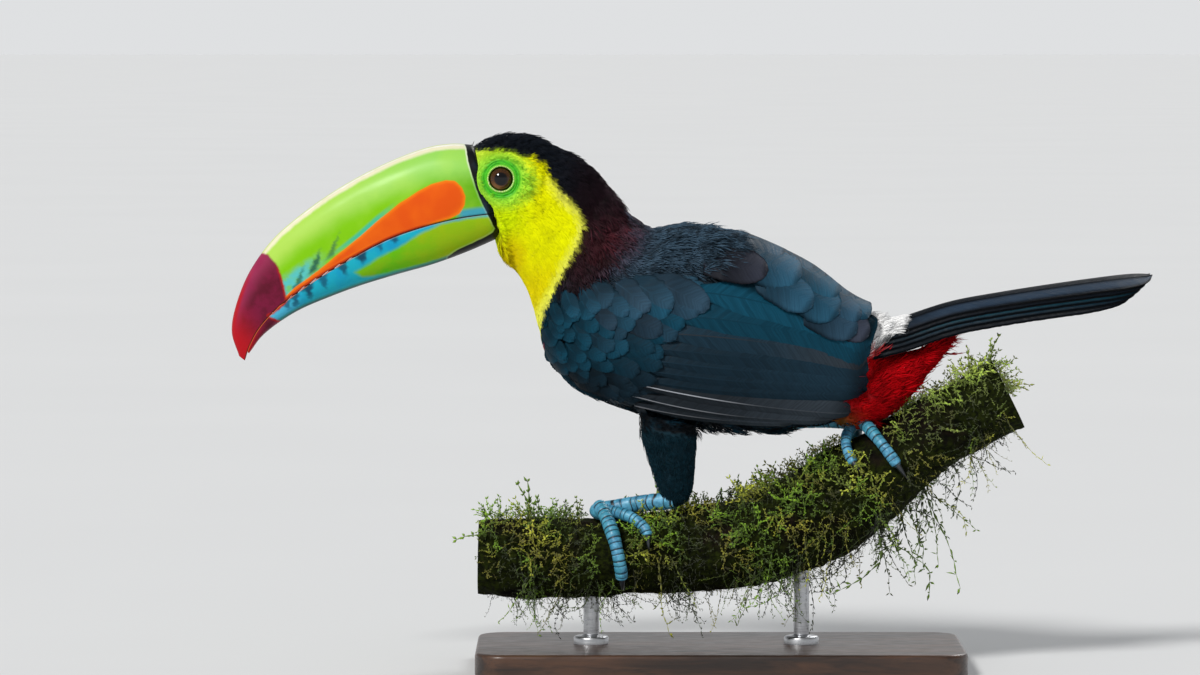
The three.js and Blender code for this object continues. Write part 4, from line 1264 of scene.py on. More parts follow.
def wing_place(side, lift):
    def place(flat, height):
        x, z = flat[..., 0], flat[..., 1]
        on = wing_point(x, z, WING_LIFT, side)
        _, level = station_of(x, z)
        h = height + lift
        h = np.where(h > 0, h * step(-0.2, 0.3, level), h)
        normal = np.zeros_like(on)
        steep = np.clip((1 - 2 * level), -1, 1)
        normal[..., 1] = side * np.sqrt(1 - 0.75 * steep**2)
        normal[..., 2] = 0.86 * steep
        return on + normal * np.broadcast_to(h, x.shape)[..., None]
    return place


# The secondaries and tertials, lowest first: root and tip as [x, z], the half widths above and
# below the shaft, the shaft's bow, and the colours at the root and the tip.
SECONDARIES = [
    ((-44, 149.0), (75.2, 141.0), 5.5, 4.2, -2.6, SLATE * 0.4, SLATE * 0.7),
    ((-42, 154.5), (76.0, 144.8), 6.5, 4.6, -1.6, SLATE * 0.45, SLATE * 0.85),
    ((-39, 160.0), (74.6, 148.8), 7.5, 5.6, -0.4, SLATE * 0.5, SLATE * 0.9),
    ((-35, 166.0), (75.4, 152.8), 8.5, 7.0, 1.2, SLATE * 0.5, SLATE * 0.8),
    ((-31, 174.0), (74.4, 158.6), 9.5, 9.0, 3.0, SLATE * 0.7, UMBER * 1.0),
    ((-24, 183.0), (76.0, 162.4), 11.0, 10.0, 4.0, TEAL * 0.6, TEAL * 0.7),
    ((-12, 195.0), (77.0, 168.0), 13.0, 11.0, 4.5, TEAL * 0.85, TEAL * 0.85),
]


# The primaries, lowest first: root and tip as [x, z], the half width, the shaft's bow and paleness.
PRIMARIES = [((-44, 134.0), (38, 124.8), 5.0, -2.2, 0.35),
             ((-46, 140.0), (57, 126.3), 6.0, -3.4, 0.6),
             ((-46, 147.0), (67.5, 129.4), 7.6, -1.8, 1.1)]


def wing_feathers(side):
    """The folded wing's long feathers, from the lowest primary up to the tertials."""
    word, shells, cells = SIDES[side], Shells(), (4, 6)
    for i, (root, tip, wide, sag, shaft) in enumerate(PRIMARIES):
        vane = Vane(root, tip, wide, wide * 0.55, sag=sag, rounding=0.12, seed=i + 3)
        add_vane(shells, vane, wing_place(side, -4.0 + 0.3 * i), 0.3, 0.6, 0.4, i, cells,
                 (UMBER * 0.45, UMBER * 1.15, SHAFT * shaft))
    for i, (root, tip, upper, lower, sag, base, end) in enumerate(SECONDARIES):
        vane = Vane(root, tip, upper, lower, sag=sag, rounding=0.09, blunt=1.2, seed=i + 13)
        add_vane(shells, vane, wing_place(side, -3.4 + 0.4 * i), 0.3, 0.8, 0.22,
                 len(PRIMARIES) + i, cells, (base, end, end * 0.7), shadow_under_shoulder=True)
    finish = vane_finish(f"flight_feathers_{word}", 0.45, 0.07, 0.22, 0.5)
    shells.build(f"wing_{word}_flight_feathers", finish, "flight_feathers",
                 [f"wing_{word}_flight"])


# The shoulder feathers: root and tip as [x, z], half width, height, then how blue (1) rather
# than mauve (0) they are. Those further forward lie over those behind.
SCAPULARS = [
    ((30, 195), (58, 178), 7.5, 0.0, 0.4), ((50, 189), (75, 171), 9.0, 0.3, 0.05),
    ((36, 191), (69, 172.5), 9.5, 0.9, 0.5), ((52, 203), (75, 180), 8.5, 0.8, 0.9),
    ((44, 197), (72, 181), 8.5, 1.2, 0.6), ((31, 203), (60, 182), 11.0, 1.6, 0.85),
    ((44, 212), (69, 192.5), 8.0, 1.2, 0.7), ((14, 206), (46, 185.5), 10.5, 1.9, 0.75),
    ((31, 214), (62, 194), 11.5, 1.8, 1.0), ((24, 220), (50, 207), 8.5, 1.8, 0.7),
    ((5, 213), (41, 201), 12.0, 2.2, 0.8), ((8, 222), (34, 214.5), 8.5, 2.1, 0.6),
    ((-9, 210), (24, 204.5), 9.5, 2.5, 0.0),
]


def scapular_feathers(side):
    """Broad rounded feathers that lie over the wing from the shoulder to the rump."""
    word = SIDES[side]
    shells = Shells()
    for index, (root, tip, wide, height, blue) in enumerate(SCAPULARS):
        tone = mix(MAUVE, BLUE_GREY, blue) * (0.52 + 0.1 * (index * 2 % 3))
        vane = Vane(root, tip, wide, wide * (0.85 + 0.1 * (index % 3)), sag=0.8 * (index % 4 - 1),
                    rounding=0.48, rows=34, columns=17, seed=40 + index, ragged=0.02, taper=0.6)
        add_vane(shells, vane, wing_place(side, height - 0.7), 0.3, 0.8, 0.03, index, (4, 4),
                 (tone * 0.35, tone * 1.05, tone * 0.95), tilt=1.1, sink=2.4 + 2.0 * (index > 8))
    finish = vane_finish(f"scapular_feathers_{word}", 0.5, 0.08, 0.16, 0.55)
    shells.build(f"wing_{word}_scapular_feathers", finish, "wing_coverts",
                 [f"wing_{word}_scapulars"])


def covert_colour(p):
    """The small wing feathers' colour: teal in front, blue-grey above, slate below."""
    x, z = p[:, 0], p[:, 2]
    c = shade(np.tile(TEAL, (len(p), 1)), BLUE_GREY, step(178, 200, z + 0.1 * x) * 0.7)
    c = shade(c, TEAL_DEEP, step(166, 152, z) * 0.8)
    c = shade(c, SLATE * 0.4, step(158, 145, z + 0.1 * x) * 0.9)
    c = shade(c, TEAL_DEEP, step(-76, -92, x) * 0.6)
    c = shade(c, MANTLE, step(192, 204, z) * 0.7)
    return c * 0.78


def wing_coverts(skin_made, p, faces, tree, scales, coverts):
    """Overlapping small feathers on the front of the wing, larger towards the flight feathers."""
    front = outline_distance(p[:, 0], p[:, 2], COVERT_AREA)
    mesh = skin_made.data
    corner = first_corners(mesh)
    keep = (faces == WING) & (front[corner] < 0)
    made = part_of(mesh, keep, "wing_small_feathers")
    q = points_of(made.data)
    change(made.data, "coat_colour", covert_colour(q))
    n = normals_of(made.data)
    way = np.stack([np.full(len(q), 1.0), np.zeros(len(q)),
                    -0.35 - 1.1 * step(-40, -84, q[:, 0])], 1)
    change(made.data, "coat_lie", lie_flat(way, n))
    size = mix(0.6, 1.2, step(-88, -30, q[:, 0])) * (1 + 0.1 * wobble(q, 20, 77))
    change(made.data, "coat_length", size)
    grow(made, tree, coverts, scales, "wing_coverts", Spacing=3.6 * MM, Length=7.5 * MM, Lift=0.0,
         Sway=0.25, Seed=91)
    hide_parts("wing_left_coverts", "wing_right_coverts")


COVERT_AREA = [(-95, 120), (-45, 126), (-40, 138), (-30, 160), (-22, 182), (-14, 205), (-40, 206),
               (-66, 206), (-95, 186)]


def larger_coverts(side):
    """Seven rows of rounded coverts over the roots of the flight feathers."""
    word = SIDES[side]
    shells = Shells()
    cells = (8, 8)
    rng = np.random.default_rng(17)
    index = 0
    rows = [
        dict(a=(-66, 145), b=(-36, 199), length=(22, 31), wide=(5.5, 10), turn=(-6, -24), n=10),
        dict(a=(-70, 147), b=(-45, 200), length=(19, 26), wide=(5.5, 9.5), turn=(-10, -30), n=9),
        dict(a=(-74, 149), b=(-54, 201), length=(17, 22), wide=(5.5, 8.5), turn=(-16, -38), n=9),
        dict(a=(-78, 152), b=(-63, 200), length=(15, 19), wide=(5, 7.5), turn=(-24, -46), n=9),
        dict(a=(-82, 156), b=(-71, 198), length=(13, 16), wide=(5, 6.5), turn=(-34, -54), n=8),
        dict(a=(-86, 160), b=(-79, 195), length=(11, 14), wide=(4.5, 5.5), turn=(-44, -62), n=8),
        dict(a=(-90, 164), b=(-86, 189), length=(9, 12), wide=(4, 4.5), turn=(-50, -68), n=6),
    ]
    for k, row in enumerate(rows):
        for i in range(row["n"]):
            f = i / (row["n"] - 1)
            root = mix(np.array(row["a"], float), np.array(row["b"], float), f)
            root = root + rng.normal(size=2) * 1.2
            turn = math.radians(mix(*row["turn"], f) + 7 * rng.normal())
            length = mix(*row["length"], f) * rng.uniform(0.82, 1.16)
            tip = root + length * np.array([math.cos(turn), math.sin(turn)])
            wide = mix(*row["wide"], f) * rng.uniform(0.72, 0.98)
            tone = covert_colour(np.array([[root[0] + 8, 0, root[1]]]))[0]
            tone = mix(tone, MAUVE * 0.7, 0.45 * rng.random() * step(0.3, 0.8, f) * (k < 4))
            tone = tone * mix(rng.uniform(0.72, 1.08), 0.8, 0.5 * (k > 2))
            end = mix(tone, SLATE * 0.5, 0.8 * step(0.65, 0.2, f) * (k < 2)) * 1.05
            vane = Vane(root, tip, wide, wide * rng.uniform(0.7, 1.0), sag=rng.normal() * 0.8,
                        rounding=rng.uniform(0.4, 0.6), rows=24, columns=13,
                        seed=140 + 10 * k + i, ragged=0.03, taper=0.55)
            lift = mix(-2.4, -0.4, f) + 0.32 * min(k, 3) + 0.12 * max(k - 3, 0) \
                + rng.normal() * 0.08
            lift -= 1.1 * max(0.0, f - 0.7) * (k > 1)
            add_vane(shells, vane, wing_place(side, lift), 0.25, 0.7, 0.02, index, cells,
                     (tone * 0.45, end, end * 0.6), tilt=0.8, sink=1.6)
            index += 1
    finish = vane_finish(f"larger_coverts_{word}", 0.55, 0.06, 0.18, 0.35)
    shells.build(f"wing_{word}_larger_coverts", finish, "wing_coverts")


# ---- tail

TAIL_RIDGE = [(94.2, 180.4), (118, 188.0), (143.5, 192.8), (174.5, 197.6), (205, 201.6),
              (221, 202.6)]
TAIL_BURIED, TAIL_LENGTH = 0.12, 129.0  # how much of the vanes is hidden in the rump
TAIL_FEATHERS, TAIL_HALF, TAIL_DROP, TAIL_ROOT = 5, 25, (11.5, 10.5), 0.52
RECTRIX_WIDTH, RECTRIX_THICK, RECTRIX_GAP, TIP_STEP, TIP_START = 17, 0.6, 0.75, 0.04, 0.8
RECTRIX_SHAFT = 0.44  # where the shaft runs across a tail feather, from its inner edge at 0
TAIL_SHEEN = ("#2a3b4e", "#06090e", "#124858", "#0e3444", "#06090e")


def tail_feather(shells, side, i):
    """One tail feather, i places out from the middle of the tail and under those before it."""
    share = RECTRIX_WIDTH / TAIL_HALF
    inner = i * (1 - share) / (TAIL_FEATHERS - 1)
    rows, half = 90, 9
    s = np.linspace(0, 1, rows) ** 0.9
    end = np.clip((s - TIP_START) / (1 - TIP_START), 0, 0.999)
    full = np.sqrt(1 - end**2)
    edge = inner + 0.3 * share * (1 - full)
    c = np.concatenate([np.linspace(0, 0.41, half), [RECTRIX_SHAFT], np.linspace(0.47, 1, half)])
    across = edge[:, None] + share * full[:, None] * c[None]
    notch = 1 + 0.004 * np.random.default_rng(200 + i).normal(size=rows)
    along = (s * (1 - TIP_STEP * i + TAIL_BURIED) - TAIL_BURIED)[:, None] + 0 * across
    along = along - 0.02 * np.abs(c - RECTRIX_SHAFT) * (1 - s[:, None] * 0.5)
    xz = curve(TAIL_RIDGE, np.clip(along, 0, 1) * (len(TAIL_RIDGE) - 1))
    xz = xz + np.minimum(along, 0)[..., None] * TAIL_LENGTH * np.array([0.97, 0.24])
    spread = TAIL_ROOT + (1 - TAIL_ROOT) * step(0, 0.8, along)
    out = across * notch[:, None]
    y = side * (0.18 + TAIL_HALF * spread * np.sin(out * 1.25)
                + 4.0 * out * step(0.2, -0.1, along))
    drop = mix(*TAIL_DROP, step(0, 0.5, along)) * np.abs(out) ** 1.35
    drop = drop + i * (RECTRIX_THICK + RECTRIX_GAP)
    camber = 0.5 * (1 - (2 * c - 2 * RECTRIX_SHAFT) ** 2)
    ridge = 0.35 * (np.abs(c - RECTRIX_SHAFT) < 0.01)
    points, faces = sheet_shell(*(np.stack([xz[..., 0], y, xz[..., 1] - drop + camber + rise], -1)
                                  for rise in (ridge, -0.5)))
    width_mm = (share * full * TAIL_HALF)[:, None] * (c - RECTRIX_SHAFT)[None] * 1.2
    s_all, c_all = np.repeat(s, len(c)), np.tile(c, rows)
    lies = np.stack([(s[:, None] * 128 + 0 * across).ravel(), width_mm.ravel(), s_all], 1)
    outer = step(0.45, 0.6, c_all) * step(0.98, 0.8, c_all) * step(0.02, 0.3, s_all)
    tone = shade(np.tile(tint("#0a1119"), (len(s_all), 1)), tint(TAIL_SHEEN[i]), 0.8 * outer)
    shells.add(points, faces, feather_map(i, 1, 5, np.stack([s_all, c_all], 1)),
               lie=np.tile(lies, (2, 1)), feather_colour=np.concatenate([tone, tone * 0.7]),
               shaft_colour=tint("#05070a"), rim=np.tile(np.abs(2 * c - 1) ** 6, 2 * rows))


def tail_feathers():
    for side, word in SIDES.items():
        shells = Shells()
        for i in range(TAIL_FEATHERS):
            tail_feather(shells, side, i)
        finish = vane_finish(f"tail_vanes_{word}", 0.4, 0.1, 0.14, 0.6)
        shells.build(f"tail_{word}_feathers", finish, "tail_feathers",
                     [f"tail_feather_{word}_{i + 1}" for i in range(TAIL_FEATHERS)])


# ---- bill

BILL = np.array([
    [-123.5, 268.0, -113.7, 233.8, -110.5, 222.0, 16.2],
    [-138.0, 268.8, -133.0, 231.2, -128.0, 214.2, 16.0],
    [-153.0, 266.0, -151.0, 226.8, -147.0, 207.2, 15.2],
    [-174.5, 257.3, -169.0, 220.5, -166.0, 201.8, 14.0],
    [-195.0, 246.2, -186.0, 211.8, -184.0, 196.3, 12.6],
    [-213.5, 233.5, -203.0, 202.0, -201.0, 190.0, 11.0],
    [-229.0, 220.0, -216.5, 192.8, -215.0, 184.0, 9.2],
    [-241.0, 203.5, -227.5, 184.0, -226.5, 177.0, 7.0],
    [-248.0, 186.5, -236.0, 174.5, -235.0, 170.0, 4.8],
    [-250.3, 172.5, -241.0, 165.5, -240.3, 163.0, 3.0],
    [-246.6, 160.0, -243.6, 157.8, -242.6, 159.6, 1.3],
])
LOWER_END = 9.4
KEEL_POWER = 0.82
BLAZE = [(-130.4, 238.0), (-130.0, 242.5), (-131.8, 247.0), (-135.4, 250.2), (-140, 250.6),
         (-147.5, 248.6), (-153.8, 245.3), (-164.1, 238.5), (-174.4, 230.3), (-184.6, 221.3),
         (-194.9, 213.0), (-205.1, 204.6), (-216.4, 196.4), (-224, 189.5), (-226, 187),
         (-220, 189.5), (-205, 200.8), (-190, 210.2), (-176, 217.5), (-160, 223.8),
         (-148, 227.8), (-138, 231.0), (-133.0, 233.6)]
TIP = [(-241.0, 209.8), (-236.0, 213.4), (-231, 212.0), (-227.0, 208.0), (-224.4, 202),
       (-222.6, 195), (-221.4, 188.5), (-228, 182), (-231, 181), (-221, 176), (-235, 150),
       (-260, 150), (-262, 200), (-245, 214)]
OLIVE = [(-114.0, 226.0), (-116.5, 232.4), (-128, 231.0), (-143, 228.0), (-152, 224.0),
         (-164.1, 216.5), (-174.4, 211.0), (-187, 203.4), (-183, 201.0), (-170, 202.6),
         (-155, 206.2), (-138, 211.0), (-125, 215.4), (-116, 219.5)]
# The dusky wedges along the cutting edges: where each is, and its height.
TEETH = [(-222.2, 6.0), (-218.0, 8.0), (-211.3, 9.5), (-203.6, 10.0), (-193.3, 8.5),
         (-183.6, 7.0), (-174.4, 5.5), (-166.7, 4.5)]
# The few of them that the upper half has too, and how far above the edge they start.
UPPER_TEETH = {1: 2.2, 2: 4.0, 3: 6.0}
RIM = [(-131.5, 270.5), (-129.8, 266.7), (-128.5, 260.0), (-126.8, 253.3), (-124.6, 246.5),
       (-122.0, 240.0), (-119.3, 234.5), (-116.9, 229.7), (-114.9, 225.8), (-116.2, 223.8),
       (-120.5, 221.2), (-126.0, 218.6), (-131.3, 216.2), (-136.0, 213.6), (-139.5, 211.0),
       (-139.0, 205.0), (-95, 203), (-95, 275)]


def jag(x, end):
    """The saw edge along the middle of the cutting edges, in millimetres."""
    phase = (x + 300) / 6.2
    saw = np.abs(phase - np.floor(phase) - 0.5) * 2
    return end * 0.9 * (saw - 0.5) * step(-182, -192, x) * step(-232, -222, x)


def bill_half(upper):
    """Rings round one half of the bill, from its root to its tip, and each ring's station."""
    rows, sides, end = (230, 110, len(BILL) - 1) if upper else (210, 84, LOWER_END)
    t = np.linspace(0, end, rows)
    row = curve(BILL, t)
    edge = row[:, 2:4]
    crest = row[:, 0:2] if upper else row[:, 4:6]
    root = step(0.26, 0.06, t)
    half = row[:, 6] * (1 - 0.16 * root)
    crest = crest + (edge - crest) * (0.06 * root[:, None])
    edge = edge + unit(crest - edge) * (0.16 - 0.13 * step(5.5, 7, t)[:, None])
    angle = np.linspace(0, math.pi, sides)
    rise = np.sin(angle)
    across = np.sign(np.cos(angle)) * np.abs(np.cos(angle)) ** KEEL_POWER
    bulge = 0.35 if upper else 0.05
    xz = edge[:, None] + (crest - edge)[:, None] * rise[None, :, None]
    saw = jag(xz[..., 0], 1.0) * step(0.25, 0.0, rise)[None]
    y = half[:, None] * across[None] * (1 + bulge * rise[None])
    p = np.stack([xz[..., 0], y, xz[..., 1] + saw], -1)
    swell = wobble(p.reshape(-1, 3), 26, 5).reshape(y.shape) * 0.12
    p[..., 1] += np.sign(y) * swell * (1 - rise[None] ** 4)
    # The floor of this half closes the shape between its two edges.
    floor = np.linspace(-1, 1, 12)[1:-1]
    x, z = (np.repeat(edge[:, k, None], len(floor), 1) for k in (0, 1))
    low = np.stack([x, half[:, None] * floor[None], z + jag(x, 1.0)], -1)
    return np.concatenate([p, low], 1), t


def bill_numbers(points, t):
    """What the horn's colours go by at each point, in millimetres but for along and rise."""
    x, z = points[:, 0], points[:, 2]
    row = curve(BILL, t)
    top, edge, xz = row[:, 0:2], row[:, 2:4], points[:, [0, 2]]
    return dict(
        along=np.asarray(t, float),
        rise=((xz - edge) * (top - edge)).sum(1) / np.linalg.norm(top - edge, axis=1)**2,
        blaze=outline_distance(x, z, BLAZE), red_tip=outline_distance(x, z, TIP),
        olive=outline_distance(x, z, OLIVE), rim=outline_distance(x, z, RIM),
        crest=np.linalg.norm(xz - top, axis=1), keel=np.linalg.norm(xz - row[:, 4:6], axis=1),
        mouth=((xz - edge) * unit(top - edge)).sum(1),
    )


def tooth_marks(points, mouth, below):
    """Dusky wedges that point away from the cutting edge, 0 to 1."""
    x, mark = points[:, 0], np.zeros(len(points))
    ragged = wobble(points, 2.5, 33)
    for i, (at, tall) in enumerate(TEETH):
        start = 0.0
        if not below:
            if i not in UPPER_TEETH:
                continue
            tall, start, at = tall * 1.1, UPPER_TEETH[i], at + 1.4 * i
        depth = (-mouth if below else mouth) - start
        away = np.abs(x - at - (0.35 if below else 0.5) * depth + 0.5 * ragged)
        half = (3.1 + 0.5 * (i % 3)) * np.clip(1 - depth / tall, 0, 1) + 0.1
        mark = np.maximum(mark, step(half, half * 0.3, away) * step(-0.8, 0.6, depth)
                          * step(tall, tall * 0.4, depth) * (0.75 + 0.12 * (i % 3)))
    return mark


def bill():
    for word, finish in (("upper", upper_bill_finish), ("lower", lower_bill_finish)):
        upper = word == "upper"
        rings, t = bill_half(upper)
        points, faces = tube_shell(rings)
        rows, sides = rings.shape[:2]
        numbers = bill_numbers(points, over_tube(t, sides, [t[0], t[-1]]))
        numbers["marks"] = tooth_marks(points, numbers["mouth"], not upper)
        u = over_tube(np.linspace(0.01, 0.99, rows), sides, [0.0, 1.0])
        shells = Shells()
        shells.add(points, faces, np.stack([u, 0.01 + 0.98 * round_tube(rows, sides)], 1),
                   **numbers)
        shells.build(f"bill_{word}_horn", finish(), word + "_bill", ["bill_" + word])


def horn_relief(f):
    """Faint growth lines along the bill, and scratches."""
    lines = f.noise(55, 3, 0.5, vector=f.stretch(f.place(), (0.35, 1.0, 1.6), (0, 0.35, 0)))
    fine = f.noise(700, 2, 0.5)
    return f.bump(lines, 0.5, 0.35, f.bump(fine, 0.03, 0.4)), lines


def tip_colours(f, base, sd, along):
    """The red tip: dusky pink above, wine in the middle and bright red at the point."""
    cloud = f.noise(120, 4, 0.6)
    rise = f.read("rise")
    tone = f.blend(f.band(rise, 1.05, 0.5), "#a03058", "#5c0824")
    tone = f.blend(f.band(cloud, 0.35, 0.65, 0, 0.5), tone, "#8c1644")
    tone = f.blend(f.band(along, 7.4, 9.3), tone, "#b40a18")
    tone = f.blend(f.times(f.band(f.read("crest"), 3.5, 1.0), f.band(along, 6.6, 7.8)),
                   tone, "#b0101c")
    rim = f.band(f.math("ABSOLUTE", f.plus(sd, 0.4)), 1.4, 0.1)
    tone = f.blend(f.times(rim, f.band(rise, 0.75, 0.4)), tone, "#a81818")
    sd = f.plus(sd, f.waver(210, 2.4, 4))
    return f.blend(f.band(sd, 0.7, -0.7), base, tone)


def upper_bill_finish():
    f = Finish("upper_bill_horn", Coat_Weight=0.05, Coat_Roughness=0.2, Specular_IOR_Level=0.16)
    relief, lines = horn_relief(f)
    along, rise, blaze = f.read("along"), f.read("rise"), f.read("blaze")
    crest, mouth, marks = f.read("crest"), f.read("mouth"), f.read("marks")
    waver = f.waver(140, 1.6, 3)
    cloud = f.noise(45, 3, 0.55)
    low = f.blend(f.band(along, 0.4, 2.4), "#5eac00", "#80c800")
    pale = f.blend(f.band(along, 1, 6), "#94d45c", "#acd850")
    height = f.plus(rise, f.times(f.math("SUBTRACT", cloud, 0.5), 0.22))
    green = f.blend(f.band(height, 0.42, 0.72), low, pale)
    green = f.blend(f.times(f.band(cloud, 0.45, 0.7), 0.25), green, "#b6e24a")
    # A cream band along the crest, with a near-white painted highlight along its top line.
    crest_line_distance = f.plus(crest, waver)
    green = f.blend(f.band(crest_line_distance, 3.6, 1.6), green, "#ece6c4")
    green = f.blend(f.band(crest_line_distance, 1.2, 0.4), green, "#fbfaf2")
    off = f.math("ABSOLUTE", f.times(f.split(f.place())[1], 1 / MM))
    green = f.blend(f.band(off, 4.6, 2.2, 0, 0.85), green, "#c8dc5c")
    near = f.times(f.band(blaze, 3.0, 1.2), f.band(along, 2.6, 3.4))
    near = f.times(near, f.band(mouth, 5.0, 9.0))
    green = f.blend(f.times(near, 0.9), green, "#36bc9c")
    # A smudge of pale blue where the blaze meets the red tip.
    smudge = f.times(f.band(along, 4.6, 5.6), f.band(mouth, 13.0, 8.0))
    green = f.blend(f.times(smudge, f.band(f.noise(230, 3), 0.35, 0.6, 0.3, 1)), green,
                    "#58c4c0")
    green = f.blend(f.times(marks, 0.9), green, "#1c5a4c")
    wedge = f.times(f.band(mouth, 5.2, 2.6), f.band(along, 1.15, 0.85))
    green = f.blend(wedge, green, "#3f9fb4")
    sd = f.plus(blaze, f.times(waver, 0.35))
    fire = f.blend(f.band(f.noise(60, 2), 0.35, 0.7), "#e65400", "#ee6400")
    fire = f.blend(f.band(sd, -2.2, -0.2), fire, "#f47800")
    colour = f.blend(f.band(sd, 0.4, -0.4), green, fire)
    strip = f.times(f.band(mouth, 1.9, 0.9), f.band(along, 1.6, 2.2))
    colour = f.blend(strip, colour, "#c23a06")
    colour = tip_colours(f, colour, f.read("red_tip"), along)
    edge = f.band(f.math("ABSOLUTE", mouth), 0.7, 0.25)
    colour = f.blend(f.times(edge, 0.75), colour, "#3c1c0c")
    colour = base_band(f, colour, rise)
    rough = f.band(lines, 0.3, 0.7, 0.34, 0.48)
    return f.done(colour, rough, relief)


def base_band(f, colour, rise):
    """The black rim where the bill leaves the face, and the pale line ahead of it."""
    rim = f.plus(f.read("rim"), f.waver(150, 0.9))
    pale = f.times(f.band(rim, 1.1, 0.4), f.band(rise, 0.35, 0.9, 0.15, 0.9))
    colour = f.blend(pale, colour, "#dfe8cc")
    sheen = f.blend(f.band(f.noise(90, 3), 0.5, 0.7), "#05070a", "#1c2836")
    return f.blend(f.band(rim, 0.25, -0.2), colour, sheen)


def lower_bill_finish():
    f = Finish("lower_bill_horn", Coat_Weight=0.05, Coat_Roughness=0.2, Specular_IOR_Level=0.16)
    relief, lines = horn_relief(f)
    along, mouth, olive, marks = (f.read(k) for k in ("along", "mouth", "olive", "marks"))
    cloud = f.noise(70, 3, 0.55)
    cyan = f.blend(f.band(cloud, 0.35, 0.65), "#0898c4", "#14acc0")
    cyan = f.blend(f.band(along, 5.6, 6.8), cyan, "#4ab4d6")
    leaf = f.blend(f.band(along, 1.2, 4.2), "#8cb800", "#3cc400")
    leaf = f.blend(f.band(cloud, 0.4, 0.7, 0, 0.45), leaf, "#a8b400")
    waver = f.waver(110, 2.2, 3)
    colour = f.blend(f.band(f.plus(olive, waver), 1.3, -1.3), cyan, leaf)
    colour = f.blend(f.times(f.band(f.read("keel"), 2.6, 1.2), 0.75), colour, "#16806c")
    keel = f.times(f.band(f.read("keel"), 1.5, 0.7), f.band(along, 8.0, 6.0))
    colour = f.blend(f.times(keel, 0.8), colour, "#0a3c34")
    colour = f.blend(f.times(marks, 0.95), colour, "#0a3a56")
    colour = tip_colours(f, colour, f.read("red_tip"), along)
    edge = f.band(f.math("ABSOLUTE", mouth), 0.6, 0.2)
    colour = f.blend(f.times(edge, f.band(along, 3.5, 5.0, 0.3, 0.8)), colour,
                     "#d0642c")
    colour = base_band(f, colour, f.read("rise"))
    return f.done(colour, f.band(lines, 0.3, 0.7, 0.36, 0.5), relief)


# ---- eyes

def eye_finish():
    f = Finish("eye_gloss", Coat_Weight=0.4, Coat_Roughness=0.03, Specular_IOR_Level=0.2)
    centre = (EYE["x"] * MM, 0, EYE["z"] * MM)
    x, _, z = f.split(f.vector_math("SUBTRACT", f.place(), centre))[:3]
    r = f.math("SQRT", f.plus(f.times(x, x), f.times(z, z)))
    r = f.times(r, 1 / MM)
    angle = f.math("ARCTAN2", z, x)
    ray_place = f.node("ShaderNodeCombineXYZ", {
        "X": f.times(f.math("SINE", angle), 6.0), "Y": f.times(f.math("COSINE", angle), 6.0),
        "Z": f.times(r, 0.25)}).outputs[0]
    rays = f.noise(2.2, 4, 0.65, vector=ray_place)
    iris = f.blend(f.band(rays, 0.35, 0.65), "#2a1606", "#54320e")
    glow = f.times(f.band(z, -0.0006, -0.0038), f.band(x, 0.003, -0.0015))
    iris = f.blend(f.times(glow, 0.7), iris, "#8a5a22")
    iris = f.blend(f.band(r, 4.9, 5.8), iris, "#140a04")
    iris = f.blend(f.band(r, 3.8, 3.1), iris, "#1e0f05")
    colour = f.blend(f.band(r, 3.15, 2.85), iris, (0.002, 0.002, 0.003))
    return f.done(colour, f.band(rays, 0.3, 0.7, 0.05, 0.09))


def eyes():
    finish = eye_finish()
    for side, word in SIDES.items():
        a, b = ball_angles(40, 56)
        bulge = 1 + 0.05 * np.exp(-(a / 0.62) ** 2)
        out = np.stack([np.sin(a) * np.cos(b), side * np.cos(a) * bulge, np.sin(a) * np.sin(b)], -1)
        centre = np.array([EYE["x"], side * EYE["y"], EYE["z"]])
        points, faces = tube_shell(centre + EYE["radius"] * out)
        u = (points[:, 0] - centre[0]) / 15 + 0.5
        v = (points[:, 2] - centre[2]) / 15 + 0.5
        back = (points[:, 1] - centre[1]) * side < 0
        shells = Shells()
        shells.add(points, faces, np.stack([u * 0.5 + back * 0.5, v * 0.98 + 0.01], 1))
        shells.build(f"eye_{word}_ball", finish, "eye", [f"eye_{word}"])


def lid_beads():
    """A ring of tiny pale beads along the edge of each lid."""
    shells = Shells()
    rng = np.random.default_rng(8)
    a, b = ball_angles(6, 8)
    ball = np.stack([np.sin(a) * np.cos(b), np.cos(a), np.sin(a) * np.sin(b)], -1)
    beads = 48
    for side in SIDES:
        for i in range(beads):
            angle = TAU * (i + 0.25 * rng.random()) / beads
            r = 6.55 + 0.05 * rng.normal()
            size = 0.34 * (0.85 + 0.3 * rng.random())
            out = EYE_FLAT + 0.3 * math.cos(angle) + 0.95
            centre = np.array([EYE["x"] + r * math.cos(angle), side * out,
                               EYE["z"] + r * math.sin(angle)])
            points, faces = tube_shell(centre + ball * size)
            pale = mix(tint("#a8e04c"), tint("#f0f4b4"), 0.35 + 0.5 * (math.sin(angle) < 0.2))
            where = np.array([0.02 + 0.02 * (i % 40), 0.1 + 0.4 * (side > 0) + 0.1 * (i // 40)])
            shells.add(points, faces, where + 0.01 * (points[:, [0, 2]] - centre[[0, 2]]),
                       bead_colour=pale)
    f = Finish("lid_bead_skin")
    colour = f.blend(f.band(f.noise(1500, 2), 0.3, 0.7, 0, 0.3), f.read("bead_colour", "Color"),
                     (0.9, 0.95, 0.5))
    shells.build("lid_beads", f.done(colour, f.band(f.noise(900), 0.3, 0.7, 0.3, 0.45)),
                 "face_plumage")


# ---- perch and its moss

PERCH = np.array([[-124, 56.4, 19.5], [-92, 55.9, 20.5], [-61, 56.4, 21], [-30, 59.0, 21],
                  [1, 62.3, 22.5], [31, 70.0, 25.5], [61, 85.5, 25], [92, 108.0, 21],
                  [121, 126.5, 19.5], [148, 140.0, 18.5]])
PERCH_END = len(PERCH) - 1


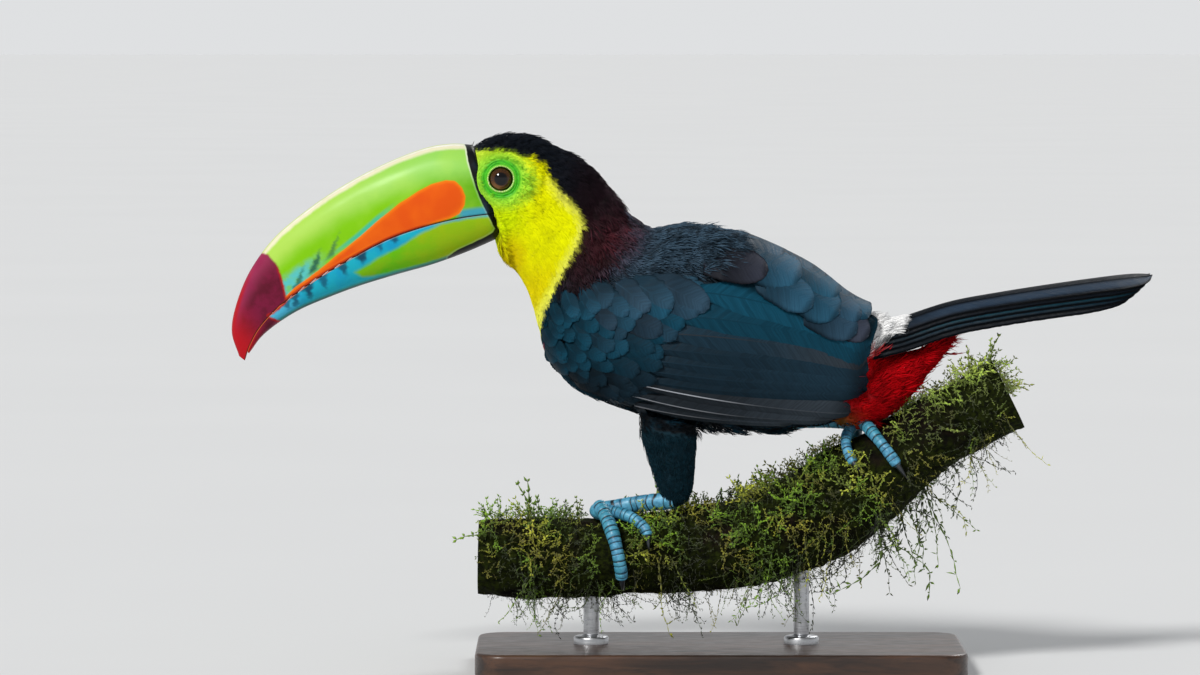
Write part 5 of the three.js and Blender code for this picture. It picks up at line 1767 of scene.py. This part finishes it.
def perch_frame(t, angle):
    row = curve(PERCH, t)
    ahead = curve(PERCH, np.clip(t + 0.05, 0, PERCH_END))[..., :2]
    behind = curve(PERCH, np.clip(t - 0.05, 0, PERCH_END))[..., :2]
    way = unit(ahead - behind)
    up = np.stack([-way[..., 1], 0 * way[..., 0], way[..., 0]], -1)
    out = up * np.cos(angle)[..., None]
    out[..., 1] = LEFT * np.sin(angle)
    swell = 0.035 * np.sin(2.3 * t + 2 * angle) + 0.025 * np.sin(5.1 * t - 3 * angle + 1)
    middle = np.stack([row[..., 0], 0 * row[..., 0], row[..., 1]], -1)
    return middle, out, row[..., 2] * (1 + swell)


def perch_point(t, angle, lift=0.0):
    middle, out, radius = perch_frame(np.asarray(t, float), np.asarray(angle, float))
    return middle + out * (radius + lift)[..., None]


def perch():
    rows, sides = 260, 104
    t, angle = np.meshgrid(np.linspace(0, PERCH_END, rows), ring_angles(sides), indexing="ij")
    q = perch_point(t, angle).reshape(-1, 3) * [0.35, 1, 1]
    bark = wobble(q, 7, 51) * 0.45 + wobble(q, 3, 52) * 0.3 + np.abs(wobble(q, 13, 53)) * -0.7
    rings = perch_point(t, angle, -0.5 + bark.reshape(t.shape))
    # The sawn ends are rings that close in on the heart.
    closing = (0.9, 0.65, 0.4, 0.15)
    ends = []
    for end in (0.0, float(PERCH_END)):
        middle, out, radius = perch_frame(np.full(sides, end), angle[0])
        ends.append([middle + out * ((radius - 1.2) * k)[:, None] for k in closing])
    rings = np.concatenate([np.stack(ends[0][::-1]), rings, np.stack(ends[1])])
    points, faces = tube_shell(rings)
    made = mesh_object("perch_bark", points, faces, bark_finish())
    many = len(closing)
    count = rows + 2 * many
    give(made.data, "end_grain", over_tube(
        np.repeat([1.0, 0.0, 1.0], [many, rows, many]), sides, [1, 1]))
    x, y, z = points.T
    station = np.concatenate([np.zeros(many), t[:, 0], np.full(many, float(PERCH_END))])
    row = curve(PERCH, over_tube(station, sides, [0.0, PERCH_END]))
    give(made.data, "from_heart", np.hypot(y, np.hypot(x - row[:, 0], z - row[:, 1])))
    u = over_tube(np.linspace(0, 1, count), sides, [0, 1])
    lay_map(made.data, np.stack([0.01 + 0.98 * u, 0.01 + 0.98 * round_tube(count, sides)], 1))
    return finished(made, ["perch"])


def bark_finish():
    f = Finish("mossy_bark", Specular_IOR_Level=0.08)
    cracks = f.noise(120, 6, 0.65, vector=f.stretch(f.place(), (0.3, 1, 1), (0, -0.35, 0)))
    patches = f.noise(38, 4, 0.6)
    crust = f.noise(420, 4, 0.7)
    bark = f.blend(f.band(cracks, 0.35, 0.65), "#050403", "#1b140d")
    moss = f.blend(f.band(crust, 0.35, 0.7), "#080b02", "#28300a")
    colour = f.blend(f.band(patches, 0.34, 0.5), bark, moss)
    rings = f.math("SINE", f.times(f.plus(f.read("from_heart"), f.times(f.noise(60), 3.0)), 3.6))
    wood = f.blend(f.band(rings, -0.6, 0.9), "#b08a58", "#8a643a")
    wood = f.blend(f.band(f.read("from_heart"), 15, 18.5), wood, "#3a2a1c")
    colour = f.blend(f.read("end_grain"), colour, wood)
    relief = f.bump(cracks, 2.2, 1.0, f.bump(crust, 0.9, 1.0))
    return f.done(colour, f.band(crust, 0.3, 0.7, 0.75, 0.95), relief)


SPIKE_FACES = np.array([(0, 1, 2, -1), (0, 2, 3, -1), (0, 3, 1, -1), (4, 2, 1, -1),
                        (4, 3, 2, -1), (4, 1, 3, -1)])


def add_spike(shells, corners, root, middle, tip):
    """A spike from its root round its middle to its tip, with how far along each of them is."""
    corners = np.array(corners)
    shells.add(corners / MM, facing_out(corners, SPIKE_FACES), lie=[
        (root, 0.5, 0), (root, 0, 0), (root, 1, 0), (middle, 0.5, 0), (tip, 0.5, 0)])


def moss_sprig(name, seed, fronds, spread, curl, leaf=0.11):
    """A sprig one unit tall: thin stems that branch, with small pointed leaves."""
    rng = np.random.default_rng(seed)
    shells = Shells()

    def blade(a, b, wide, mark):
        way = unit(b - a)
        side = unit(np.cross(way, [0.3, 0.2, 1.0]))
        other = np.cross(way, side)
        mid = a + (b - a) * 0.45
        add_spike(shells, [
            a, mid + side * wide, mid - side * wide * 0.6 + other * wide * 0.8,
            mid - side * wide * 0.6 - other * wide * 0.8, b], mark, mark + 0.1, min(1, mark + 0.2))

    steps = 4
    for _ in range(fronds):
        heading = rng.uniform(0, TAU)
        lean = spread * rng.uniform(0.3, 1)
        at = np.array([0, 0, -0.06])
        for k in range(steps):
            bend = lean * (0.4 + curl * k / steps)
            way = np.array([math.cos(heading) * math.sin(bend), math.sin(heading) * math.sin(bend),
                            math.cos(bend)])
            after = at + way / steps * rng.uniform(0.8, 1.15)
            blade(at, after + way * 0.04, 0.03, 0.15 + 0.2 * k)
            for sign in (-1, 1):
                out = unit(np.cross(way, [0, 0, 1.0]) * sign + way * 0.9
                           + rng.normal(size=3) * 0.3)
                blade(after, after + out * leaf * rng.uniform(0.7, 1.3), 0.045, 0.3 + 0.18 * k)
            at = after
            heading += rng.normal() * 0.35
    return shells.pattern(name)


def strand(name, seed):
    """A hanging moss strand one unit long that droops along +X, with short side hairs."""
    rng = np.random.default_rng(seed)
    shells = Shells()
    at, way = np.zeros(3), np.array([1.0, 0, 0])
    steps = 9
    for k in range(steps):
        along = (k / steps, k / steps + 0.05, k / steps + 0.1)
        after = at + way / steps
        side = unit(np.cross(way, rng.normal(size=3)))
        w = 0.014 * (1 - 0.07 * k)
        add_spike(shells, [
            at - way * 0.01, at + side * w + way * 0.05, at - side * w + way * 0.05,
            at + np.cross(way, side) * w + way * 0.05, after + way * 0.015], *along)
        for _ in range(2):
            out = unit(way * 0.8 + rng.normal(size=3))
            tip = after + out * rng.uniform(0.04, 0.1)
            mid = mix(after, tip, 0.5)
            across = unit(np.cross(out, [0.1, 1, 0.2])) * 0.012
            add_spike(shells, [after, mid + across, mid - across, mid + np.cross(out, across),
                               tip], *along)
        at = after
        way = unit(way + rng.normal(size=3) * 0.22)
    return shells.pattern(name)


def moss_finish():
    f = Finish("moss_leaves", Sheen_Weight=0.1)
    along = f.split(f.read("lie", "Vector"))[0]
    lit = f.times(f.band(along, 0.0, 1.0, 0.35, 1.25), f.band(f.read("tone"), 0, 1, 0.55, 1.5))
    colour = f.lit(f.read("coat_colour", "Color"), lit, f.times(lit, 0.9))
    fibre = f.noise(1400, 2)
    return f.done(colour, f.band(fibre, 0.3, 0.7, 0.5, 0.75), f.bump(fibre, 0.1, 0.5))


MOSS_DEEP, MOSS_GREEN = tint("#2a340c"), tint("#6c9018")
MOSS_GOLD, MOSS_PALE = tint("#aca634"), tint("#a8bc58")
STRAND_LENGTH = 34.0
BOARD_CLEAR = 14.0  # the height that the hanging strands stay above


def moss(bark_made, tree):
    """Moss over the perch: low cushions, upright sprigs, and strands that hang below."""
    finish = moss_finish()
    mesh = bark_made.data
    p, n = points_of(mesh), normals_of(mesh)
    x, y, z = p.T
    up = n[:, 2]
    clump = wobble(p, 34, 61) + 0.5 * wobble(p, 12, 62)
    colour = shade(np.tile(MOSS_DEEP, (len(p), 1)), MOSS_GREEN, step(-0.6, 0.9, clump + 0.8 * up))
    colour = shade(colour, MOSS_GOLD, 0.75 * step(0.0, 1.1, wobble(p, 22, 63) + 0.4 * up))
    colour = shade(colour, MOSS_PALE, 0.6 * step(40, 110, x) * step(-0.3, 0.8, up))
    give(mesh, "coat_colour", colour)
    lie = np.stack([0.6 * wobble(p, 20, 64), 0.6 * wobble(p, 20, 65), np.full(len(p), -1.0)], 1)
    lie = lie_flat(lie, n)
    give(mesh, "coat_lie", lie)
    tufted = wobble(p * [1, 0.3, 0.3], 11, 67) + 0.35 * wobble(p, 5, 68)
    under = step(-0.2, -0.5, up)
    length = (1 + 0.35 * wobble(p, 16, 66)) \
        * mix(1, mix(0.18, 1.25, step(-0.1, 0.9, tufted)), under)
    clear = np.maximum(z - BOARD_CLEAR, 1) / (1.2 * STRAND_LENGTH)
    give(mesh, "coat_length", np.where(under > 0.01, np.minimum(length, clear), length))
    u, v = x / 290 + 0.45, np.arctan2(y, z - np.interp(x, PERCH[:, 0], PERCH[:, 1])) / TAU + 0.5
    give(mesh, "coat_root", np.stack([u, v, 0 * u], 1))
    # The sawn ends stay bare, and so do the places where the feet and toes hold on.
    cuts = (x < -121) | (x > 147)
    foot = np.minimum(np.hypot(x + 60, z - 84), np.hypot(x - 79, z - 118)) \
        < 12 * (1.15 - 0.3 * (np.abs(y) > 12))
    toes = (np.abs(x + 56) < 6.5) & (z > 48) | (np.hypot(x - 86, z - 106) < 9)
    corner = first_corners(mesh)
    free = ~(cuts | foot | (toes & (y < 0)))
    sprigs = grouped("moss_sprig", 6, lambda name, i: moss_sprig(name, 80 + i, 1, 1.2, 0.9, 0.2))
    sprays = grouped("moss_spray", 5, lambda name, i: moss_sprig(name, 90 + i, 2, 0.7, 1.3, 0.16))
    strands = grouped("moss_strand", 5, lambda name, i: strand(name, 95 + i))
    bed = (free & (clump + 0.6 * up > -1.45))[corner]
    tall = (free & (up > 0.15) & (clump > 0.1))[corner]
    hang = (free & (up < -0.35) & (clump > -0.1))[corner]
    for name, keep, group, spacing, length, lift, sway, seed in (
            ("perch_moss_bed_front", bed & (x < 12)[corner], sprigs, 2.4, 6.0, 0.7, 3.1, 5),
            ("perch_moss_bed_rear", bed & (x >= 12)[corner], sprigs, 2.4, 6.0, 0.7, 3.1, 8),
            ("perch_moss_sprays", tall, sprays, 5.0, 11.0, 0.7, 3.1, 6),
            ("perch_moss_strands", hang, strands, 4.0, STRAND_LENGTH, 0.9, 0.7, 7)):
        made = part_of(mesh, keep, name)
        grow(made, tree, finish, group, "mossy_bark", Spacing=spacing * MM, Length=length * MM,
             Lift=lift, Sway=sway, Seed=seed)
    for name in ("coat_colour", "coat_lie", "coat_length", "coat_root"):
        mesh.attributes.remove(mesh.attributes[name])


# ---- legs

FOOT_LIFT, FOOT_PAD, TOE_TAPER, GAP = 3.6, 5.4, 0.78, 0.35
# Where each foot stands on the perch and, for each toe, the angle round the perch that its tip
# reaches, its drift along the perch, its radius and its claw's length.
FEET = {
    "left": dict(station=2.02, angle=0.16, heel=(-28, -11, 86.4), toes=dict(
        front_outer=(1.98, 0.3, 3.9, 11), rear_outer=(1.12, 0.78, 3.4, 9),
        front_inner=(-1.45, 0.12, 3.5, 10), rear_inner=(-1.2, 0.75, 3.2, 9))),
    "right": dict(station=6.86, angle=-0.25, heel=(41, 14.5, 126.2), toes=dict(
        front_outer=(-1.9, -0.35, 3.9, 11), rear_outer=(-1.4, 0.4, 3.5, 10),
        front_inner=(1.02, -0.38, 3.1, 9), rear_inner=(1.62, 0.06, 3.5, 10))),
}


def swept(points, radii, out, sides, profile=None):
    """Rings round a line of points: radii are (sideways, outwards) and out the outward way."""
    way = unit(np.gradient(points, axis=0))
    outward = unit(out - way * (out * way).sum(1, keepdims=True))
    sideways = np.cross(way, outward)
    angle = ring_angles(sides)
    shape = np.ones((len(points), sides)) if profile is None else profile
    across, up = (radii[:, 0:1] * np.cos(angle) * shape, radii[:, 1:2] * np.sin(angle) * shape)
    return points[:, None] + (sideways[:, None] * across[..., None]
                              + outward[:, None] * up[..., None])


def toe_line(foot, toe, share):
    end, drift, _, _ = toe
    eased = np.minimum(share, 1)
    angle = foot["angle"] + (end - foot["angle"]) * share
    t = foot["station"] + drift * np.sin(eased * math.pi / 2)
    return t, angle, (1 - eased) ** 2 * (FOOT_LIFT - 1)


def scute_wave(distance, pitch):
    """1 on a plate and 0 in the groove between two."""
    phase = distance / pitch
    return step(0.0, 0.2, 0.5 - np.abs(phase - np.floor(phase) - 0.5))


def shank(shells, foot, joint):
    """The bare leg from the heel down to the foot, ringed with plates."""
    heel = np.array(foot["heel"], float)
    rows, sides = 90, 28
    s = np.linspace(-0.12, 1, rows)
    line = heel + (joint - heel) * s[:, None]
    line[:, 2] += 0.6 * np.sin(math.pi * np.clip(s, 0, 1))
    radii = curve([(4.1, 4.6), (3.5, 4.25), (3.5, 4.2), (4.3, 4.5)], np.clip(s, 0, 1) * 3)
    distance = s * np.linalg.norm(joint - heel)
    angle = ring_angles(sides)
    uneven = distance + 0.7 * np.sin(distance * 0.8) + 0.5 * np.sin(distance * 0.33 + 1)
    slant = 0.9 * np.cos(angle) + 0.35 * np.sin(3 * angle + distance[:, None] * 0.2)
    plates = scute_wave(uneven[:, None] + slant, 4.4)
    shape = 1 + 0.05 * (plates - 1) * (np.abs(np.sin(angle)) > 0.3)[None]
    points, faces = tube_shell(swept(line, radii, np.tile([0.0, 0, 1], (rows, 1)), sides, shape))
    u = over_tube(np.linspace(0.01, 0.99, rows), sides, [0, 1])
    shells.add(points, faces, np.stack([u, 0.01 + 0.17 * round_tube(rows, sides)], 1),
               plate=np.concatenate([plates.ravel(), [1, 1]]),
               run=over_tube(distance, sides, [0, 0]), under=np.zeros(len(points)))


def foot_pad(shells, joint):
    a, b = ball_angles(22, 30)
    ball = np.stack([np.sin(a) * np.cos(b), np.sin(a) * np.sin(b), 0.85 * np.cos(a)], -1)
    points, faces = tube_shell(joint + ball * (FOOT_PAD - 0.1))
    shells.add(points, faces, 0.9 + 0.08 * ((points - joint) / 6)[:, :2],
               plate=0.8 + 0.2 * np.sin(points[:, 0] * 3), run=np.zeros(len(points)),
               under=np.zeros(len(points)))


def add_toe(shells, foot, toe, k):
    rows, sides = 110, 24
    share = np.linspace(0, 1, rows)
    t, angle, root = toe_line(foot, toe, share)
    radius = toe[2] * (1 - (1 - TOE_TAPER) * share)
    line = perch_point(t, angle, GAP + radius + root)
    _, out, _ = perch_frame(t, angle)
    steps = np.linalg.norm(np.diff(line, axis=0), axis=1)
    distance = np.concatenate([[0], np.cumsum(steps)])
    plates = scute_wave(distance + 0.4 * np.sin(distance * 1.1 + k), 2.9)[:, None]
    knuckle = 1 + 0.05 * np.cos(TAU * distance / distance[-1] * 2.2)
    top = step(-0.35, 0.1, np.sin(ring_angles(sides)))[None]
    shape = knuckle[:, None] * (1 + 0.085 * (plates - 1) * top)
    tip = np.sqrt(np.clip(1 - np.clip((share - 0.965) / 0.036, 0, 1) ** 2, 0.02, 1))
    points, faces = tube_shell(swept(line, np.stack([radius * tip] * 2, 1), out, sides, shape))
    u = over_tube(np.linspace(0.01, 0.88, rows), sides, [0, 0.89])
    shells.add(points, faces,
               np.stack([u, 0.2 + 0.17 * k + 0.16 * round_tube(rows, sides)], 1),
               plate=np.concatenate([(plates * top + (1 - top) * 0.7).ravel(), [1, 1]]),
               run=over_tube(distance, sides, [0, 0]),
               under=np.concatenate([np.tile(1 - top.ravel(), rows), [0, 0]]))


def legs():
    finish, horn = leg_finish(), claw_finish()
    for word, foot in FEET.items():
        shells, claws = Shells(), Shells()
        joint = perch_point(foot["station"], foot["angle"], FOOT_LIFT + 1.2)
        shank(shells, foot, joint)
        foot_pad(shells, joint)
        for k, toe in enumerate(foot["toes"].values()):
            add_toe(shells, foot, toe, k)
            claw(claws, foot, toe, k)
        shells.build(f"leg_{word}_scales", finish, "leg_scales", [f"shank_{word}", f"foot_{word}"])
        claws.build(f"claws_{word}", horn, "claws",
                    [f"claw_{word}_{place}" for place in foot["toes"]])


def claw(shells, foot, toe, k):
    rows, sides = 26, 16
    t, _, _ = toe_line(foot, toe, 1.0)
    end, _, thick, claw_length = toe
    radius = thick * TOE_TAPER
    _, _, around = perch_frame(np.array(float(t)), np.array(float(end)))
    reach, clear = claw_length / around, -0.6 / around
    turn = np.sign(end - foot["angle"])
    s = np.linspace(0, 1, rows)
    angle = end + turn * (clear + reach * s)
    tt = np.full(rows, float(t))
    line = perch_point(tt, angle, GAP + radius * (1 - 0.78 * s) + 1.1 * np.sin(math.pi * s))
    _, out, _ = perch_frame(tt, angle)
    radii = radius * (0.8 - 0.76 * s ** 0.85)
    points, faces = tube_shell(swept(line, np.stack([radii * 0.8, radii], 1), out, sides))
    run = over_tube(s, sides, [0, 1])
    v = 0.02 + 0.24 * k + 0.22 * round_tube(rows, sides)
    shells.add(points, faces, np.stack([run * 0.98 + 0.01, v], 1), run=run)


def leg_finish():
    f = Finish("leg_scales", Coat_Weight=0.1, Coat_Roughness=0.35)
    plate, under = f.read("plate"), f.read("under")
    cloud = f.noise(260, 4, 0.65)
    sky = f.blend(f.band(cloud, 0.3, 0.7), "#256a8e", "#64b0d2")
    sky = f.blend(f.band(f.noise(90, 2), 0.45, 0.7, 0, 0.5), sky, "#2c8f9e")
    colour = f.blend(f.band(plate, 0.1, 0.75), "#061620", sky)
    colour = f.blend(f.times(under, 0.7), colour, "#24788c")
    pebble = f.noise(1100, 2, 0.5)
    height = f.plus(f.times(plate, 0.8), f.times(pebble, 0.25))
    return f.done(colour, f.band(pebble, 0.3, 0.7, 0.38, 0.55), f.bump(height, 0.35, 0.7))


def claw_finish():
    f = Finish("claw_horn", Coat_Weight=0.2, Coat_Roughness=0.2)
    run = f.read("run")
    streak = f.noise(260, 3, 0.6)
    colour = f.blend(f.band(run, 0.0, 0.7), "#2c3238", "#0a0b0e")
    colour = f.blend(f.band(streak, 0.45, 0.7, 0, 0.35), colour, "#4a5058")
    return f.done(colour, f.band(streak, 0.3, 0.7, 0.28, 0.42), f.bump(streak, 0.08, 0.4))


# ---- stand

BASE = dict(length=250.0, width=120.0, height=12.0, corner=16.0)
RODS = [("front", -66.0), ("rear", 42.0)]
ROD_RADIUS = 4.0
COLLAR_RADIUS, COLLAR_HEIGHT = 9.0, 4.0


def rounded_rectangle(length, width, corner):
    ring, steps = [], 14
    for i, (sx, sy) in enumerate(((1, -1), (1, 1), (-1, 1), (-1, -1))):
        start = -math.pi / 2 + i * math.pi / 2
        for a in np.linspace(start, start + math.pi / 2, steps):
            ring.append((sx * (length / 2 - corner) + corner * math.cos(a),
                         sy * (width / 2 - corner) + corner * math.sin(a)))
    return np.array(ring)


def stand():
    height, corner = BASE["height"], BASE["corner"]
    bevel = 2.0
    profile = [(14.0, 0.0), (1.6, 0.0), (0.6, 0.25), (0.15, 0.7), (0.0, 1.4)]
    profile += [(0.0, z) for z in np.linspace(2.4, height - bevel, 5)]
    profile += [(bevel * (1 - math.cos(a)), height - bevel + bevel * math.sin(a))
                for a in np.linspace(0.2, math.pi / 2, 7)]
    profile += [(4.0, height), (8.0, height), (14.0, height)]
    rings = []
    for inset, z in profile:
        flat = rounded_rectangle(BASE["length"] - 2 * inset, BASE["width"] - 2 * inset,
                                 max(corner - inset, 0.5))
        rings.append(np.insert(flat, 2, z, 1))
    points, faces = tube_shell(np.array(rings))
    x, y, z = points.T
    shells = Shells()
    shells.add(points, faces, np.stack([x / 260 + 0.5, y / 280 + 0.25 + 0.5 * (z < 5)], 1))
    sharp_edges(shells.build("stand_board", wood_finish(), "stand_wood", ["stand_base"]))
    steel = steel_finish()
    base = height + 0.05
    top = base + COLLAR_HEIGHT
    collar = [(ROD_RADIUS, base), (COLLAR_RADIUS, base), (COLLAR_RADIUS, top - 1.2),
              (COLLAR_RADIUS - 0.35, top - 0.4), (COLLAR_RADIUS - 1.0, top),
              (ROD_RADIUS + 1.2, top), (ROD_RADIUS + 0.1, top + 0.7)]
    for word, x in RODS:
        low, high = (corner.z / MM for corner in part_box(f"stand_rod_{word}"))
        rod = [(0.01, low), (ROD_RADIUS - 0.3, low), (ROD_RADIUS, low + 0.4)]
        rod += [(ROD_RADIUS, z) for z in np.linspace(low + 1, high + 1.5, 12)]
        lathe(f"stand_{word}_rod", rod, x, steel, [f"stand_rod_{word}"])
        lathe(f"stand_{word}_collar", collar, x, steel, [f"stand_collar_{word}"])


def lathe(name, profile, x, finish, replaced):
    rows, sides = len(profile), 64
    points, faces = tube_shell(np.array([
        [(x + r * math.cos(a), r * math.sin(a), z) for a in ring_angles(sides)]
        for r, z in profile]))
    u = np.concatenate([np.tile(np.linspace(0.01, 0.99, sides), rows), [0.5, 0.5]])
    v = over_tube(np.linspace(0.02, 0.98, rows), sides, [0, 1])
    shells = Shells()
    shells.add(points, faces, np.stack([u, v], 1))
    sharp_edges(shells.build(name, finish, "stand_steel", replaced))


def sharp_edges(made):
    made.data.shade_smooth()
    made.data.set_sharp_from_angle(angle=math.radians(35))


def wood_finish():
    f = Finish("dark_walnut", Coat_Weight=0.3, Coat_Roughness=0.25)
    grain_place = f.stretch(f.place(), (1.0, 9.0, 9.0))
    grain = f.noise(16, 6, 0.6, vector=grain_place, distort=0.6)
    pores = f.noise(90, 3, 0.6, vector=grain_place)
    colour = f.blend(f.band(grain, 0.3, 0.7), "#20130c", "#4e3220")
    colour = f.blend(f.band(pores, 0.55, 0.75, 0, 0.5), colour, "#140b06")
    return f.done(colour, f.band(pores, 0.3, 0.7, 0.32, 0.5), f.bump(pores, 0.12, 0.5))


def steel_finish():
    f = Finish("brushed_steel", Metallic=1.0)
    brushed = f.noise(90, 3, 0.6, vector=f.stretch(f.place(), (1, 1, 8)))
    colour = f.blend(f.band(brushed, 0.3, 0.7), (0.42, 0.43, 0.45), (0.62, 0.63, 0.65))
    return f.done(colour, f.band(brushed, 0.3, 0.7, 0.24, 0.4), f.bump(brushed, 0.03, 0.5))


# ---- assembly

studio()
stand()
bark_made = perch()
skin_made = skin()
p, region, root_map = skin_numbers(skin_made.data)
lay_map(skin_made.data, root_map)
skin_made.data.materials.append(skin_finish())
tree, faces, scales, coverts = plumage(skin_made, region)
wing_coverts(skin_made, p, faces, tree, scales, coverts)
finished(skin_made, ["head", "neck", "trunk", "rump", "undertail_coverts",
                                     "thigh_left", "thigh_right"])
for side in SIDES:
    wing_feathers(side)
    larger_coverts(side)
    scapular_feathers(side)
tail_feathers()
bill()
eyes()
lid_beads()
legs()
moss(bark_made, tree)
